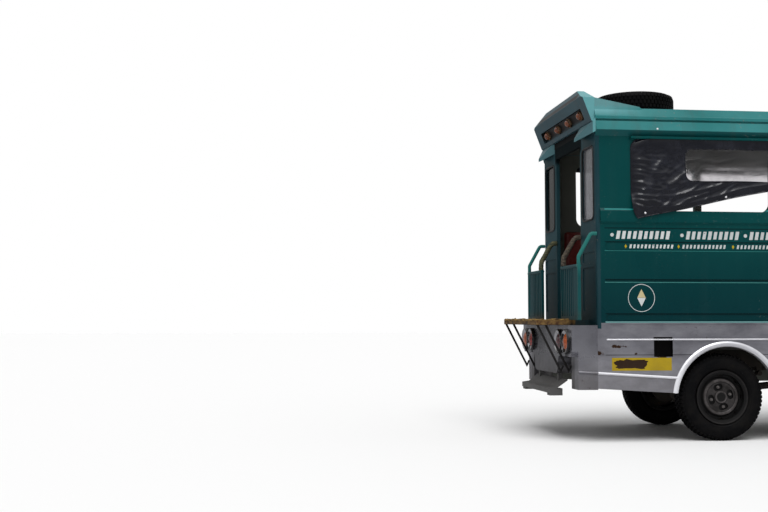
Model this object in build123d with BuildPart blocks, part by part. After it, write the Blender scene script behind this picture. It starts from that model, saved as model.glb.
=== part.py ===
from build123d import *
import os
from math import atan2, cos, degrees, hypot, radians, sin, sqrt

os.makedirs("parts", exist_ok=True)

# Driving dimensions in millimetres. +X is forward, +Y is the left side, +Z is up from the road.
platform_reach = 430
saloon_length = 2640
cab_length = 1000
bonnet_length = 1060
bumper_reach = 150
body_width = 1520
wall = 35
play = 0.3
door_gap = 6

floor_top = 945
floor_thickness = 40
cab_floor_top = 740
skirt_bottom = 378
wall_top = 2450
sill_height = 1795
window_top = 2360
belt_bottom = 1690
belt_height = 125
belt_proud = 15

tyre_diameter = 680
tyre_width = 195
rim_diameter = 400
rear_overhang = 1020
front_overhang = 560
tyre_face_inset = 40

rail_spacing = 580
rail_width = 60
rail_height = 140
rail_bottom = 560
rail_sheet = 8

# Places along the vehicle, worked out from the lengths above
overall_length = platform_reach + saloon_length + cab_length + bonnet_length + bumper_reach
rear_x = platform_reach - overall_length / 2
cab_x = rear_x + saloon_length
dash_x = cab_x + cab_length
nose_x = dash_x + bonnet_length
bumper_x = nose_x + bumper_reach
half_width = body_width / 2
inner_width = half_width - wall
wing_inner = half_width - 320
rear_axle_x = rear_x + rear_overhang
front_axle_x = nose_x - front_overhang
axle_z = tyre_diameter / 2
tyre_outer_y = half_width - tyre_face_inset
tyre_y = tyre_outer_y - tyre_width / 2
tyre_inner_y = tyre_outer_y - tyre_width
rail_y = rail_spacing / 2
rail_top = rail_bottom + rail_height
floor_bottom = floor_top - floor_thickness


def dome_point(edge_radius, edge_height, rise):
    # a point half-way out on the spherical cap that rises by rise from a circle of edge_radius
    ball = (edge_radius ** 2 + rise ** 2) / (2 * rise)
    return edge_radius / 2, edge_height + rise - ball + sqrt(ball ** 2 - edge_radius ** 2 / 4)


def block(x_low, x_high, y_low, y_high, z_low, z_high, mode=Mode.ADD):
    with Locations(((x_low + x_high) / 2, (y_low + y_high) / 2, (z_low + z_high) / 2)):
        Box(x_high - x_low, y_high - y_low, z_high - z_low, mode=mode)


def cross_bar(x, z, radius, y_low, y_high, mode=Mode.ADD):
    with Locations(Location((x, (y_low + y_high) / 2, z), (90, 0, 0))):
        Cylinder(radius, y_high - y_low, mode=mode)


def upright(x, y, radius, z_low, z_high, mode=Mode.ADD):
    with Locations((x, y, (z_low + z_high) / 2)):
        Cylinder(radius, z_high - z_low, mode=mode)


def bar_end(start, end, radius):
    # round end of a bar that runs from start towards end
    with BuildSketch(Plane(origin=start, z_dir=Vector(*end) - Vector(*start))) as section:
        Circle(radius)
    return section.sketch


def long_bar(y, z, radius, x_low, x_high, mode=Mode.ADD):
    with Locations(Location(((x_low + x_high) / 2, y, z), (0, 90, 0))):
        Cylinder(radius, x_high - x_low, mode=mode)


# Ladder frame: two channel rails open inwards, cross-members, spring hangers
hanger_width = 50
spring_eye_z = 505
spring_eye_radius = 20
rear_spring_half = 500
front_spring_half = 430
rail_rear = rear_x - 150
rail_front = nose_x + 60
web_y = rail_y + rail_width / 2 - rail_sheet
cross_member_x = (rear_x + 40, rear_axle_x - rear_spring_half, rear_axle_x + rear_spring_half - 20, cab_x - 290,
                  front_axle_x + front_spring_half + 50)
axle_places = ((rear_axle_x, rear_spring_half), (front_axle_x, front_spring_half))

with BuildPart() as chassis_frame:
    block(rail_rear, rail_front, rail_y - rail_width / 2, rail_y + rail_width / 2, rail_bottom, rail_top)
    block(rail_rear, rail_front, rail_y - rail_width / 2, rail_y + rail_width / 2 - rail_sheet,
          rail_bottom + rail_sheet, rail_top - rail_sheet, Mode.SUBTRACT)
    for axle_x, half_length in axle_places:
        for eye_x in (axle_x - half_length, axle_x + half_length):
            block(eye_x - 25, eye_x + 25, rail_y - hanger_width / 2, rail_y + hanger_width / 2,
                  spring_eye_z + spring_eye_radius + play, rail_bottom)
    mirror(about=Plane.XZ)
    for member_x in cross_member_x:
        block(member_x - 30, member_x + 30, -web_y, web_y, rail_bottom + 20, rail_top - 20)
chassis_frame.part.label = "chassis_frame"
export_step(chassis_frame.part, "parts/chassis_frame.step")


# Leaf springs: arcs of falling length, one under the other, with rolled eyes
leaf_thickness = 12
leaf_width = 60
leaf_shares = (1.0, 0.8, 0.6, 0.4)
axle_tube_radius = 38
axle_pad = 14
pack_bottom = axle_z + axle_tube_radius + axle_pad
spring_top_z = pack_bottom + len(leaf_shares) * leaf_thickness
spring_sag = spring_eye_z - spring_top_z

with BuildPart() as leaf_springs:
    for axle_x, half_length in axle_places:
        bend_radius = (half_length ** 2 + spring_sag ** 2) / (2 * spring_sag)
        full_angle = degrees(atan2(half_length, bend_radius - spring_sag))
        centre_z = spring_top_z + bend_radius
        with BuildSketch(Plane.XZ.offset(-rail_y)):
            for count, share in enumerate(leaf_shares):
                inner_radius = bend_radius + count * leaf_thickness
                outer_radius = inner_radius + leaf_thickness
                sweep_angle = full_angle * share
                with BuildLine():
                    upper = CenterArc((axle_x, centre_z), inner_radius, 270 - sweep_angle, 2 * sweep_angle)
                    lower = CenterArc((axle_x, centre_z), outer_radius, 270 - sweep_angle, 2 * sweep_angle)
                    Line(upper @ 0, lower @ 0)
                    Line(upper @ 1, lower @ 1)
                make_face()
        extrude(amount=leaf_width / 2, both=True)
        for eye_x in (axle_x - half_length, axle_x + half_length):
            cross_bar(eye_x, spring_eye_z, spring_eye_radius, rail_y - leaf_width / 2,
                      rail_y + leaf_width / 2)
        block(axle_x - 60, axle_x + 60, rail_y - leaf_width / 2, rail_y + leaf_width / 2,
              spring_top_z - leaf_thickness, spring_top_z + 14)
    mirror(about=Plane.XZ)
leaf_springs.part.label = "leaf_springs"
export_step(leaf_springs.part, "parts/leaf_springs.step")


# Rear axle: tube, differential, backing plates, stub ends and the propeller shaft
stub_radius = 22
stub_end_y = tyre_y + 5
backing_y = tyre_inner_y - 25
diff_radius = 135
shaft_radius = 30
gearbox_rear_x = dash_x - 560
gearbox_z = 500
nose_length = 190
backing_radius = 125
shaft_start = Vector(rear_axle_x + nose_length, 0, axle_z)
shaft_run = Vector(gearbox_rear_x, 0, gearbox_z) - shaft_start
shaft_length = shaft_run.length - 12

with BuildPart() as rear_axle:
    # banjo housing and tubes, turned about the axle line
    with BuildSketch(Plane(origin=(rear_axle_x, 0, axle_z), x_dir=(1, 0, 0), z_dir=(0, 0, 1))):
        with BuildLine():
            Polyline((diff_radius, 0), (diff_radius, 45), (axle_tube_radius, 190),
                     (axle_tube_radius, backing_y - 8), (backing_radius, backing_y - 8),
                     (backing_radius, backing_y), (stub_radius, backing_y), (stub_radius, stub_end_y),
                     (0, stub_end_y), (0, 0), close=True)
        make_face()
        mirror(about=Plane.XZ)
    revolve(axis=Axis((rear_axle_x, 0, axle_z), (0, 1, 0)))
    for side in (1, -1):
        block(rear_axle_x - 50, rear_axle_x + 50, side * rail_y - 30, side * rail_y + 30, axle_z,
              pack_bottom - play)
    long_bar(0, axle_z, 60, rear_axle_x, rear_axle_x + nose_length)
    # propeller shaft with a joint at each end
    with BuildSketch(Plane(origin=shaft_start, x_dir=(0, 1, 0), z_dir=Vector(0, 1, 0).cross(shaft_run))):
        with BuildLine():
            Polyline((0, -20), (44, -20), (44, 60), (shaft_radius, 90), (shaft_radius, shaft_length - 90),
                     (44, shaft_length - 60), (44, shaft_length), (0, shaft_length), close=True)
        make_face()
    revolve(axis=Axis(shaft_start, shaft_run))
rear_axle.part.label = "rear_axle"
export_step(rear_axle.part, "parts/rear_axle.step")


# Front axle: beam between the springs with a vertical eye at each end for the kingpin
kingpin_y = tyre_inner_y - 30
kingpin_radius = 12
eye_radius = 27
eye_half_height = 42
beam_half = 26

with BuildPart() as front_axle:
    block(front_axle_x - beam_half, front_axle_x + beam_half, -kingpin_y, kingpin_y,
          axle_z - beam_half, axle_z + beam_half)
    for side in (1, -1):
        upright(front_axle_x, side * kingpin_y, eye_radius, axle_z - eye_half_height, axle_z + eye_half_height)
        upright(front_axle_x, side * kingpin_y, kingpin_radius + 0.4, 0, 2 * axle_z, Mode.SUBTRACT)
        block(front_axle_x - 45, front_axle_x + 45, side * rail_y - 30, side * rail_y + 30, axle_z,
              pack_bottom - play)
front_axle.part.label = "front_axle"
export_step(front_axle.part, "parts/front_axle.step")


# Steering knuckles: a fork over the eye, the kingpin, the stub for the wheel and the steering arm
fork_sheet = 20
fork_gap = 3
arm_length = 150
arm_z = axle_z - eye_half_height - fork_gap - fork_sheet / 2
tie_pin_radius = 8

for name, side in (("left", 1), ("right", -1)):
    with BuildPart() as knuckle:
        upright(front_axle_x, kingpin_y, kingpin_radius, arm_z, 2 * axle_z - arm_z)
        for fork_z in (arm_z, 2 * axle_z - arm_z):
            with BuildSketch(Plane.XY.offset(fork_z - fork_sheet / 2)):
                with Locations((front_axle_x, kingpin_y)):
                    Circle(eye_radius)
                with Locations((front_axle_x, kingpin_y + 26)):
                    Rectangle(2 * eye_radius, 52)
            extrude(amount=fork_sheet)
        block(front_axle_x - eye_radius, front_axle_x + eye_radius, kingpin_y + eye_radius + 6,
              kingpin_y + 52, arm_z - fork_sheet / 2, 2 * axle_z - arm_z + fork_sheet / 2)
        cross_bar(front_axle_x, axle_z, stub_radius, kingpin_y + 45, stub_end_y)
        with BuildSketch(Plane.XY.offset(arm_z - fork_sheet / 2)):
            with BuildLine():
                Polyline((front_axle_x, kingpin_y + 22), (front_axle_x, kingpin_y - 22),
                         (front_axle_x - arm_length - 14, kingpin_y - 14),
                         (front_axle_x - arm_length - 14, kingpin_y + 14), close=True)
            make_face()
        extrude(amount=fork_sheet)
        upright(front_axle_x - arm_length, kingpin_y, tie_pin_radius, arm_z - fork_sheet / 2 - 26, arm_z)
        if side < 0:
            mirror(about=Plane.XZ, mode=Mode.REPLACE)
    knuckle.part.label = f"knuckle_{name}"
    export_step(knuckle.part, f"parts/knuckle_{name}.step")


# Tie rod under the steering arms, with an eye at each end
tie_z = arm_z - fork_sheet / 2 - 15
with BuildPart() as tie_rod:
    cross_bar(front_axle_x - arm_length, tie_z, 10, -kingpin_y + 16, kingpin_y - 16)
    for side in (1, -1):
        upright(front_axle_x - arm_length, side * kingpin_y, 20, tie_z - 14, tie_z + 14)
        upright(front_axle_x - arm_length, side * kingpin_y, tie_pin_radius + 0.4, tie_z - 30, tie_z + 30,
                Mode.SUBTRACT)
tie_rod.part.label = "tie_rod"
export_step(tie_rod.part, "parts/tie_rod.step")


# Tyres and steel wheels, the spare lying on the roof among them
rim_radius = rim_diameter / 2
tyre_radius = tyre_diameter / 2
half_tread = tyre_width / 2
shoulder = 22
bead_half = 78
lip = 12


def tyre_section(plane):
    # radius across, width along the wheel's axis
    with BuildSketch(plane) as section:
        with BuildLine():
            Line((rim_radius - lip, -bead_half), (rim_radius - lip, bead_half))
            Line((rim_radius - lip, bead_half), (rim_radius + 14, bead_half))
            ThreePointArc((rim_radius + 14, bead_half), (rim_radius + 72, half_tread),
                          (tyre_radius - shoulder, half_tread - 12))
            Line((tyre_radius - shoulder, half_tread - 12), (tyre_radius, half_tread - 34))
            Line((tyre_radius, half_tread - 34), (tyre_radius, 34 - half_tread))
            Line((tyre_radius, 34 - half_tread), (tyre_radius - shoulder, 12 - half_tread))
            ThreePointArc((tyre_radius - shoulder, 12 - half_tread), (rim_radius + 72, -half_tread),
                          (rim_radius + 14, -bead_half))
            Line((rim_radius + 14, -bead_half), (rim_radius - lip, -bead_half))
        make_face()
    return section.sketch


disc_y = 34
disc_sheet = 8
hub_radius = 52
hub_outer_y = 62
ring_radius = 137
spoke_rise = 19
pocket_floor = 8
pocket_count = 4
pocket_radius = 79
slot_count = 8
slot_radius = 170
drum_radius = 112
barrel_sheet = 7


def wheel_section(plane):
    # barrel, dished disc and hub; the outer face looks along the plane's y direction
    well = rim_radius - lip - play
    with BuildSketch(plane) as section:
        with BuildLine():
            Polyline((well - barrel_sheet, -bead_half), (rim_radius + 10, -bead_half - 8),
                     (rim_radius + 10, -bead_half - play), (well, -bead_half - play), (well, bead_half + play),
                     (rim_radius + 10, bead_half + play), (rim_radius + 10, bead_half + 8),
                     (well - barrel_sheet, bead_half), (well - barrel_sheet, disc_y + 6),
                     (ring_radius + 20, disc_y + 6), (ring_radius + 6, disc_y + 18), (ring_radius, disc_y + 24),
                     (ring_radius - 14, disc_y + 24), (ring_radius - 20, disc_y + spoke_rise),
                     (hub_radius, disc_y + spoke_rise), (hub_radius - 6, hub_outer_y), (0, hub_outer_y),
                     (0, hub_outer_y - 14), (30, hub_outer_y - 14), (30, disc_y), (ring_radius - 33, disc_y),
                     (ring_radius - 24, disc_y + 10), (ring_radius - 8, disc_y + 14),
                     (ring_radius + 13, disc_y - 2), (well - barrel_sheet, disc_y - 2),
                     (well - barrel_sheet, -bead_half))
        make_face()
    return section.sketch


def hand_holes(plane):
    # slots in the channel round the disc
    hole_plane = Plane(origin=plane.origin + plane.y_dir * (disc_y - 20), x_dir=plane.x_dir, z_dir=plane.y_dir)
    with BuildSketch(hole_plane) as holes:
        with PolarLocations(slot_radius, slot_count):
            SlotOverall(36, 11, rotation=90)
    return holes.sketch


def nut_pockets(plane):
    # pressed pockets between the spokes, where the wheel nuts sit
    floor_plane = Plane(origin=plane.origin + plane.y_dir * (disc_y + pocket_floor), x_dir=plane.x_dir,
                        z_dir=plane.y_dir)
    with BuildSketch(floor_plane) as pockets:
        with PolarLocations(pocket_radius, pocket_count, start_angle=15):
            SlotOverall(78, 50, rotation=90)
    return pockets.sketch


def drum_section(plane, inner_y):
    # brake drum behind the disc, bored for the stub
    with BuildSketch(plane) as section:
        with BuildLine():
            Polyline((stub_radius + 0.4, inner_y), (drum_radius, inner_y), (drum_radius, disc_y - 6),
                     (84, disc_y), (30, disc_y + 1), (stub_radius + 0.4, disc_y - 10),
                     (stub_radius + 0.4, inner_y))
        make_face()
    return section.sketch


rear_drum_y = backing_y + 6 - tyre_y
front_drum_y = kingpin_y + 52 + 6 - tyre_y
# name, axle line, side, inner edge of the brake drum from the tyre's middle
wheel_places = (("rear_left", rear_axle_x, 1, rear_drum_y), ("rear_right", rear_axle_x, -1, rear_drum_y),
                ("front_left", front_axle_x, 1, front_drum_y), ("front_right", front_axle_x, -1, front_drum_y))
for name, axle_x, side, drum_inner in wheel_places:
    wheel_plane = Plane(origin=(axle_x, side * tyre_y, axle_z), x_dir=(1, 0, 0), z_dir=(0, 0, side))
    spin = Axis(wheel_plane.origin, wheel_plane.y_dir)
    with BuildPart() as tyre:
        revolve(tyre_section(wheel_plane), axis=spin)
    tyre.part.label = f"tyre_{name}"
    export_step(tyre.part, f"parts/tyre_{name}.step")
    with BuildPart() as wheel:
        revolve(wheel_section(wheel_plane), axis=spin)
        extrude(hand_holes(wheel_plane), amount=60, mode=Mode.SUBTRACT)
        extrude(nut_pockets(wheel_plane), amount=60, mode=Mode.SUBTRACT)
        revolve(drum_section(wheel_plane, drum_inner), axis=spin)
    wheel.part.label = f"wheel_{name}"
    export_step(wheel.part, f"parts/wheel_{name}.step")


# Exhaust: silencer outside the left rail, down pipe and a tail pipe to the rear of the axle
pipe_radius = 22
exhaust_y = rail_y + rail_width / 2 + 75
exhaust_z = 515
silencer_x = dash_x - 700
with BuildPart() as exhaust:
    long_bar(exhaust_y, exhaust_z, 62, silencer_x - 280, silencer_x + 280)
    long_bar(exhaust_y, exhaust_z, pipe_radius, rear_axle_x - 420, silencer_x + 620)
    block(silencer_x - 20, silencer_x + 20, rail_y + rail_width / 2 + play, exhaust_y, exhaust_z + 40,
          exhaust_z + 75)
    block(rear_axle_x + rear_spring_half - 30, rear_axle_x + rear_spring_half, rail_y + rail_width / 2 + play,
          exhaust_y + 10, exhaust_z + 10, exhaust_z + 70)
exhaust.part.label = "exhaust"
export_step(exhaust.part, "parts/exhaust.step")


# Fuel tank behind the right rear wheel, hung from the cross bearers by two straps
tank_front = rear_x + 590
tank_rear = rear_x + 170
tank_bottom = 470
tank_top = 740
tank_inner_y = rail_y + rail_width / 2 + 20
tank_outer_y = inner_width - 30
bearer_bottom = floor_bottom - 100
filler_x = rear_x + 525
filler_z = 736
with BuildPart() as fuel_tank:
    block(tank_rear, tank_front, -tank_outer_y, -tank_inner_y, tank_bottom, tank_top)
    fillet(fuel_tank.edges().filter_by(Axis.Y), radius=45)
    for strap_x in (tank_rear + 110, tank_front - 110):
        block(strap_x - 20, strap_x + 20, -tank_outer_y - 4, -tank_inner_y + 4, tank_bottom - 4, tank_top + 4)
        for strap_y in (-tank_outer_y + 15, -tank_inner_y - 15):
            block(strap_x - 20, strap_x + 20, strap_y - 4, strap_y + 4, tank_top, floor_bottom - play)
    cross_bar(filler_x, filler_z - 40, 24, -inner_width + 16, -tank_outer_y)
fuel_tank.part.label = "fuel_tank"
export_step(fuel_tank.part, "parts/fuel_tank.step")


# Engine with its gearbox, as plain blocks
engine_rear_x = dash_x + 90
engine_front_x = front_axle_x + 150
engine_half = 190
engine_bottom = gearbox_z - 20
engine_top = engine_bottom + 500
with BuildPart() as engine_block:
    block(engine_rear_x, engine_front_x, -engine_half, engine_half, engine_bottom, engine_top)
    with BuildSketch(Plane.XZ):
        with BuildLine():
            Polyline((gearbox_rear_x, gearbox_z - 60), (engine_rear_x, engine_bottom),
                     (engine_rear_x, gearbox_z + 160), (gearbox_rear_x, gearbox_z + 60),
                     (gearbox_rear_x, gearbox_z - 60), close=True)
        make_face()
    extrude(amount=95, both=True)
    for side in (1, -1):
        y_low, y_high = sorted((side * engine_half, side * (rail_y - rail_width / 2 + 10)))
        block(engine_rear_x + 180, engine_rear_x + 260, y_low, y_high, rail_top + play, rail_top + 40)
engine_block.part.label = "engine_block"
export_step(engine_block.part, "parts/engine_block.step")


# Floor: one pressed sheet stepping down to the cab, on cross bearers and two long sleepers
toe_rise = 160
bearer_x = (rear_x + 85, rear_axle_x - 400, rear_axle_x + 460, cab_x - 600, cab_x - 60)
with BuildPart() as floor:
    with BuildSketch(Plane.XZ):
        with BuildLine():
            Polyline((rear_x + wall, floor_bottom), (cab_x - floor_thickness, floor_bottom),
                     (cab_x - floor_thickness, cab_floor_top - floor_thickness),
                     (dash_x - 140, cab_floor_top - floor_thickness),
                     (dash_x - play, cab_floor_top + toe_rise - 45), (dash_x - play, cab_floor_top + toe_rise),
                     (dash_x - 160, cab_floor_top), (cab_x, cab_floor_top), (cab_x, floor_top),
                     (rear_x + wall, floor_top), close=True)
        make_face()
    extrude(amount=inner_width - play, both=True)
    for place in bearer_x:
        block(place - 35, place + 35, -inner_width + play, inner_width - play, bearer_bottom, floor_bottom)
    for side in (1, -1):
        block(rear_x + wall, cab_x - 25, side * rail_y - 30, side * rail_y + 30, rail_top + play,
              bearer_bottom)
floor.part.label = "floor"
export_step(floor.part, "parts/floor.step")


# Side walls of the saloon and cab, with windows, doorway, wheel arch and pressed strips
arch_radius = tyre_radius + 65
arch_lip = 46
arch_x = rear_axle_x + 23
arch_z = axle_z - 9
lip_proud = 13
skirt_rise = 39
rear_panel = 30
foot_z = floor_bottom - 27
post_width = 30
doorway_rear = cab_x + post_width
doorway_front = dash_x - post_width
doorway_bottom = cab_floor_top + 5
doorway_top = window_top - 30
door_top = belt_bottom - 28
hinge_out = 12
hinge_x = doorway_front - door_gap / 2
hinge_y = half_width + hinge_out
hinge_barrel = 8
hinge_half = 18
window_corner = 75
window_rear = 290
window_front = saloon_length - 80
window_post = rear_overhang + 435
post_half = 35
# windows: rear edge, front edge, from the rear face
window_spans = ((window_rear, window_post - post_half), (window_post + post_half, window_front))
# pressed strips: low edge, high edge
strips = ((1482, 1554), (1236, 1259), (937, 992), (800, 914))
strip_depth = 7
strip_start = rear_x + 70
strip_end = cab_x - 80
crease_z = 675
crease_depth = 3
bead_radius = 10
inset_bead_z = 793
low_bead_z = 536
low_bead_fall = 40
filler_half = 76

for name, side in (("left", 1), ("right", -1)):
    with BuildPart() as side_wall:
        block(rear_x, dash_x, inner_width, half_width, skirt_bottom, wall_top)
        block(rear_x, rear_x + rear_panel, inner_width, half_width, foot_z, wall_top, Mode.SUBTRACT)
        # belt roll under the windows
        with BuildSketch(Plane.YZ.offset(rear_x + rear_panel)):
            with BuildLine():
                Polyline((half_width - 5, belt_bottom), (half_width + belt_proud, belt_bottom + 18),
                         (half_width + belt_proud, belt_bottom + belt_height - 22),
                         (half_width, belt_bottom + belt_height), (half_width - 5, belt_bottom + belt_height),
                         close=True)
            make_face()
        extrude(amount=saloon_length - rear_panel - 10)
        # rounded beads: one under the lowest strip, one falling to the arch
        long_bar(half_width, inset_bead_z, bead_radius - 3, strip_start, strip_end)
        extrude(bar_end((rear_x, half_width, low_bead_z), (arch_x - arch_radius, half_width, low_bead_z - low_bead_fall),
                        bead_radius), amount=arch_x - arch_radius - rear_x)
        # wheel arch with its rounded lip, and the skirt that rises to the rear
        with BuildSketch(Plane(origin=(arch_x, 0, arch_z), x_dir=(1, 0, 0), z_dir=(0, 0, 1))):
            with BuildLine():
                ThreePointArc((arch_radius, half_width - 2), (arch_radius + arch_lip / 2, half_width + lip_proud),
                              (arch_radius + arch_lip, half_width - 2))
                Line((arch_radius + arch_lip, half_width - 2), (arch_radius, half_width - 2))
            make_face()
        revolve(axis=Axis((arch_x, 0, arch_z), (0, 1, 0)))
        block(arch_x - arch_radius - arch_lip, arch_x + arch_radius + arch_lip, inner_width - 5,
              half_width + lip_proud + 5, arch_z - arch_radius - arch_lip - 5, skirt_bottom, Mode.SUBTRACT)
        cross_bar(arch_x, arch_z, arch_radius, inner_width - 5, half_width + lip_proud + 5, Mode.SUBTRACT)
        with BuildSketch(Plane.XZ.offset(-inner_width + 5)):
            with BuildLine():
                Polyline((rear_x - 5, skirt_bottom - 5), (rear_x - 5, skirt_bottom + skirt_rise),
                         (arch_x - arch_radius, skirt_bottom), (arch_x - arch_radius, skirt_bottom - 5),
                         close=True)
            make_face()
        extrude(amount=-(wall + 15), mode=Mode.SUBTRACT)
        block(rear_x - 5, arch_x - arch_radius + 120, half_width - crease_depth, half_width + 5, crease_z - 2,
              crease_z + 2, Mode.SUBTRACT)
        # windows and the cab doorway
        with BuildSketch(Plane.XZ.offset(-inner_width + 5)):
            for low, high in window_spans:
                with Locations((rear_x + (low + high) / 2, (sill_height + window_top) / 2)):
                    RectangleRounded(high - low, window_top - sill_height, window_corner)
            with Locations(((doorway_rear + doorway_front) / 2, (doorway_bottom + doorway_top) / 2)):
                RectangleRounded(doorway_front - doorway_rear, doorway_top - doorway_bottom, 12)
        extrude(amount=-60, mode=Mode.SUBTRACT)
        # pressed strips with rounded ends
        with BuildSketch(Plane.XZ.offset(-half_width + strip_depth)):
            for low, high in strips:
                with Locations(((strip_start + strip_end) / 2, (low + high) / 2)):
                    RectangleRounded(strip_end - strip_start, high - low, min(30, (high - low) / 2 - 1))
        extrude(amount=-2 * strip_depth, mode=Mode.SUBTRACT)
        if side < 0:
            block(filler_x - filler_half, filler_x + filler_half, inner_width + 15, half_width + 5,
                  filler_z - filler_half, filler_z + filler_half, Mode.SUBTRACT)
            mirror(about=Plane.XZ, mode=Mode.REPLACE)
    side_wall.part.label = f"side_wall_{name}"
    export_step(side_wall.part, f"parts/side_wall_{name}.step")


# Rear panel: two pillars with a window each, joined over the doorway
doorway_half = 350
rear_door_top = window_top
pane_inner = doorway_half + 60
pane_outer = half_width - 60
pane_bottom = sill_height - 60
pane_top = window_top - 45
pane_corner = 45
# pressed panels of the pillars: low edge, high edge, both from the floor
pillar_panels = ((70, 415), (455, 535))
with BuildPart() as rear_panel_part:
    block(rear_x, rear_x + rear_panel, -half_width, half_width, foot_z, wall_top)
    fillet(rear_panel_part.edges().filter_by(Axis.Z).group_by(Axis.X)[0], radius=20)
    block(rear_x - 5, rear_x + rear_panel + 5, -doorway_half, doorway_half, foot_z - 5, rear_door_top,
          Mode.SUBTRACT)
    for side in (1, -1):
        with BuildSketch(Plane.YZ.offset(rear_x - 5)):
            with Locations((side * (pane_inner + pane_outer) / 2, (pane_bottom + pane_top) / 2)):
                RectangleRounded(pane_outer - pane_inner, pane_top - pane_bottom, pane_corner)
        extrude(amount=rear_panel + 10, mode=Mode.SUBTRACT)
        with BuildSketch(Plane.YZ.offset(rear_x - 5)):
            for low, high in pillar_panels:
                with Locations((side * (pane_inner + pane_outer) / 2, floor_top + (low + high) / 2)):
                    RectangleRounded(pane_outer - pane_inner + 20, high - low, 25)
        extrude(amount=5 + 6, mode=Mode.SUBTRACT)
rear_panel_part.part.label = "rear_panel"
export_step(rear_panel_part.part, "parts/rear_panel.step")


# Window glass: rear panes and the split windscreen, each in its own rubber-lined opening
glass = 6
screen_bottom_z = cab_floor_top + 590
screen_top_z = wall_top - 120
screen_rake = 110
screen_frame = 40
screen_base_x = dash_x + 10
screen_angle = degrees(atan2(screen_rake, screen_top_z - screen_bottom_z))
screen_height = hypot(screen_rake, screen_top_z - screen_bottom_z)
screen_plane = Plane(origin=(screen_base_x, 0, screen_bottom_z), x_dir=(0, 1, 0),
                     z_dir=(cos(radians(screen_angle)), 0, sin(radians(screen_angle))))
screen_half = inner_width - play
pane_margin = 65
centre_bar = 40


def screen_panes(shrink):
    for side in (1, -1):
        inner = centre_bar / 2
        outer = screen_half - pane_margin
        with Locations((side * (inner + outer) / 2, screen_height / 2)):
            RectangleRounded(outer - inner - 2 * shrink, screen_height - 2 * pane_margin - 2 * shrink, 40)


with BuildPart() as window_glass:
    for side in (1, -1):
        with BuildSketch(Plane.YZ.offset(rear_x + rear_panel / 2 - glass / 2)):
            with Locations((side * (pane_inner + pane_outer) / 2, (pane_bottom + pane_top) / 2)):
                RectangleRounded(pane_outer - pane_inner - 2 * play, pane_top - pane_bottom - 2 * play,
                                 pane_corner)
        extrude(amount=glass)
    with BuildSketch(screen_plane.offset(screen_frame / 2 - glass / 2)):
        screen_panes(play)
    extrude(amount=glass)
window_glass.part.label = "window_glass"
export_step(window_glass.part, "parts/window_glass.step")


# Windscreen frame: raked, with two panes and a centre bar
with BuildPart() as windscreen_frame:
    with BuildSketch(screen_plane):
        with Locations((0, screen_height / 2)):
            Rectangle(2 * screen_half, screen_height)
    extrude(amount=screen_frame)
    with BuildSketch(screen_plane.offset(-5)):
        screen_panes(0)
    extrude(amount=screen_frame + 10, mode=Mode.SUBTRACT)
windscreen_frame.part.label = "windscreen_frame"
export_step(windscreen_frame.part, "parts/windscreen_frame.step")


# Line of the steering column
column_angle = 38
wheel_centre = Vector(dash_x - 330, half_width - 410, screen_bottom_z + 40)
column_dir = Vector(-cos(radians(column_angle)), 0, sin(radians(column_angle)))
column_length = 190
steering_radius = 200
column_plane = Plane(origin=wheel_centre, x_dir=(0, 1, 0), z_dir=column_dir)


# Cowl: firewall between cab and engine, with a scuttle top that carries the windscreen
firewall = 40
bonnet_rear_top = screen_bottom_z - 30
bonnet_rear_x = dash_x + 66
bonnet_pin_x = bonnet_rear_x - 14
bonnet_pin_z = bonnet_rear_top + 4
bonnet_pin_radius = 9
bonnet_hinge_y = wing_inner - 110
bonnet_knuckle = 20
hinge_leaf = 38
strap_places = (doorway_bottom + 215, screen_bottom_z - 60)
with BuildPart() as cowl:
    block(dash_x, dash_x + firewall, -half_width, half_width, cab_floor_top, screen_bottom_z - 12)
    fillet(cowl.edges().filter_by(Axis.Z).group_by(Axis.X)[-1], radius=25)
    block(dash_x, dash_x + 60, -screen_half, screen_half, screen_bottom_z - 12, screen_bottom_z - play)
    # hinge lugs either side of each bonnet knuckle
    for side in (1, -1):
        for lug_y in (bonnet_hinge_y - bonnet_knuckle - 11, bonnet_hinge_y + bonnet_knuckle + 11):
            low, high = sorted((side * lug_y - 10.7, side * lug_y + 10.7))
            cross_bar(bonnet_pin_x, bonnet_pin_z, bonnet_pin_radius, low, high)
            block(dash_x + firewall - 5, bonnet_pin_x, low, high, bonnet_pin_z - bonnet_pin_radius,
                  bonnet_pin_z + bonnet_pin_radius)
        # body halves of the door hinges: a leaf over the front post, with a barrel above and below
        leaf_low, leaf_high = sorted((side * (half_width + play), side * (half_width + hinge_barrel)))
        foot_low, foot_high = sorted((side * (half_width - 3), side * (half_width + hinge_barrel)))
        for strap_z in strap_places:
            low, high = strap_z - hinge_leaf, strap_z + hinge_leaf
            block(hinge_x + hinge_barrel + 2, dash_x + 14, leaf_low, leaf_high, low, high)
            block(dash_x + 2, dash_x + 14, foot_low, foot_high, low, high)
            for start, end in ((low, strap_z - hinge_half - play), (strap_z + hinge_half + play, high)):
                upright(hinge_x, side * hinge_y, hinge_barrel, start, end)
                block(hinge_x, dash_x + 14, leaf_low, leaf_high, start, end)
    # instrument shelf on the cab side
    with BuildSketch(Plane.XZ):
        with BuildLine():
            Polyline((dash_x, screen_bottom_z - 20), (dash_x - 150, screen_bottom_z - 40),
                     (dash_x - 170, screen_bottom_z - 90), (dash_x - 150, screen_bottom_z - 200),
                     (dash_x, screen_bottom_z - 230), close=True)
        make_face()
    extrude(amount=inner_width - 40, both=True)
    # bearing boss for the steering column
    with BuildSketch(column_plane.offset(-column_length - play)):
        Circle(30)
    extrude(amount=-90)
cowl.part.label = "cowl"
export_step(cowl.part, "parts/cowl.step")


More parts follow.
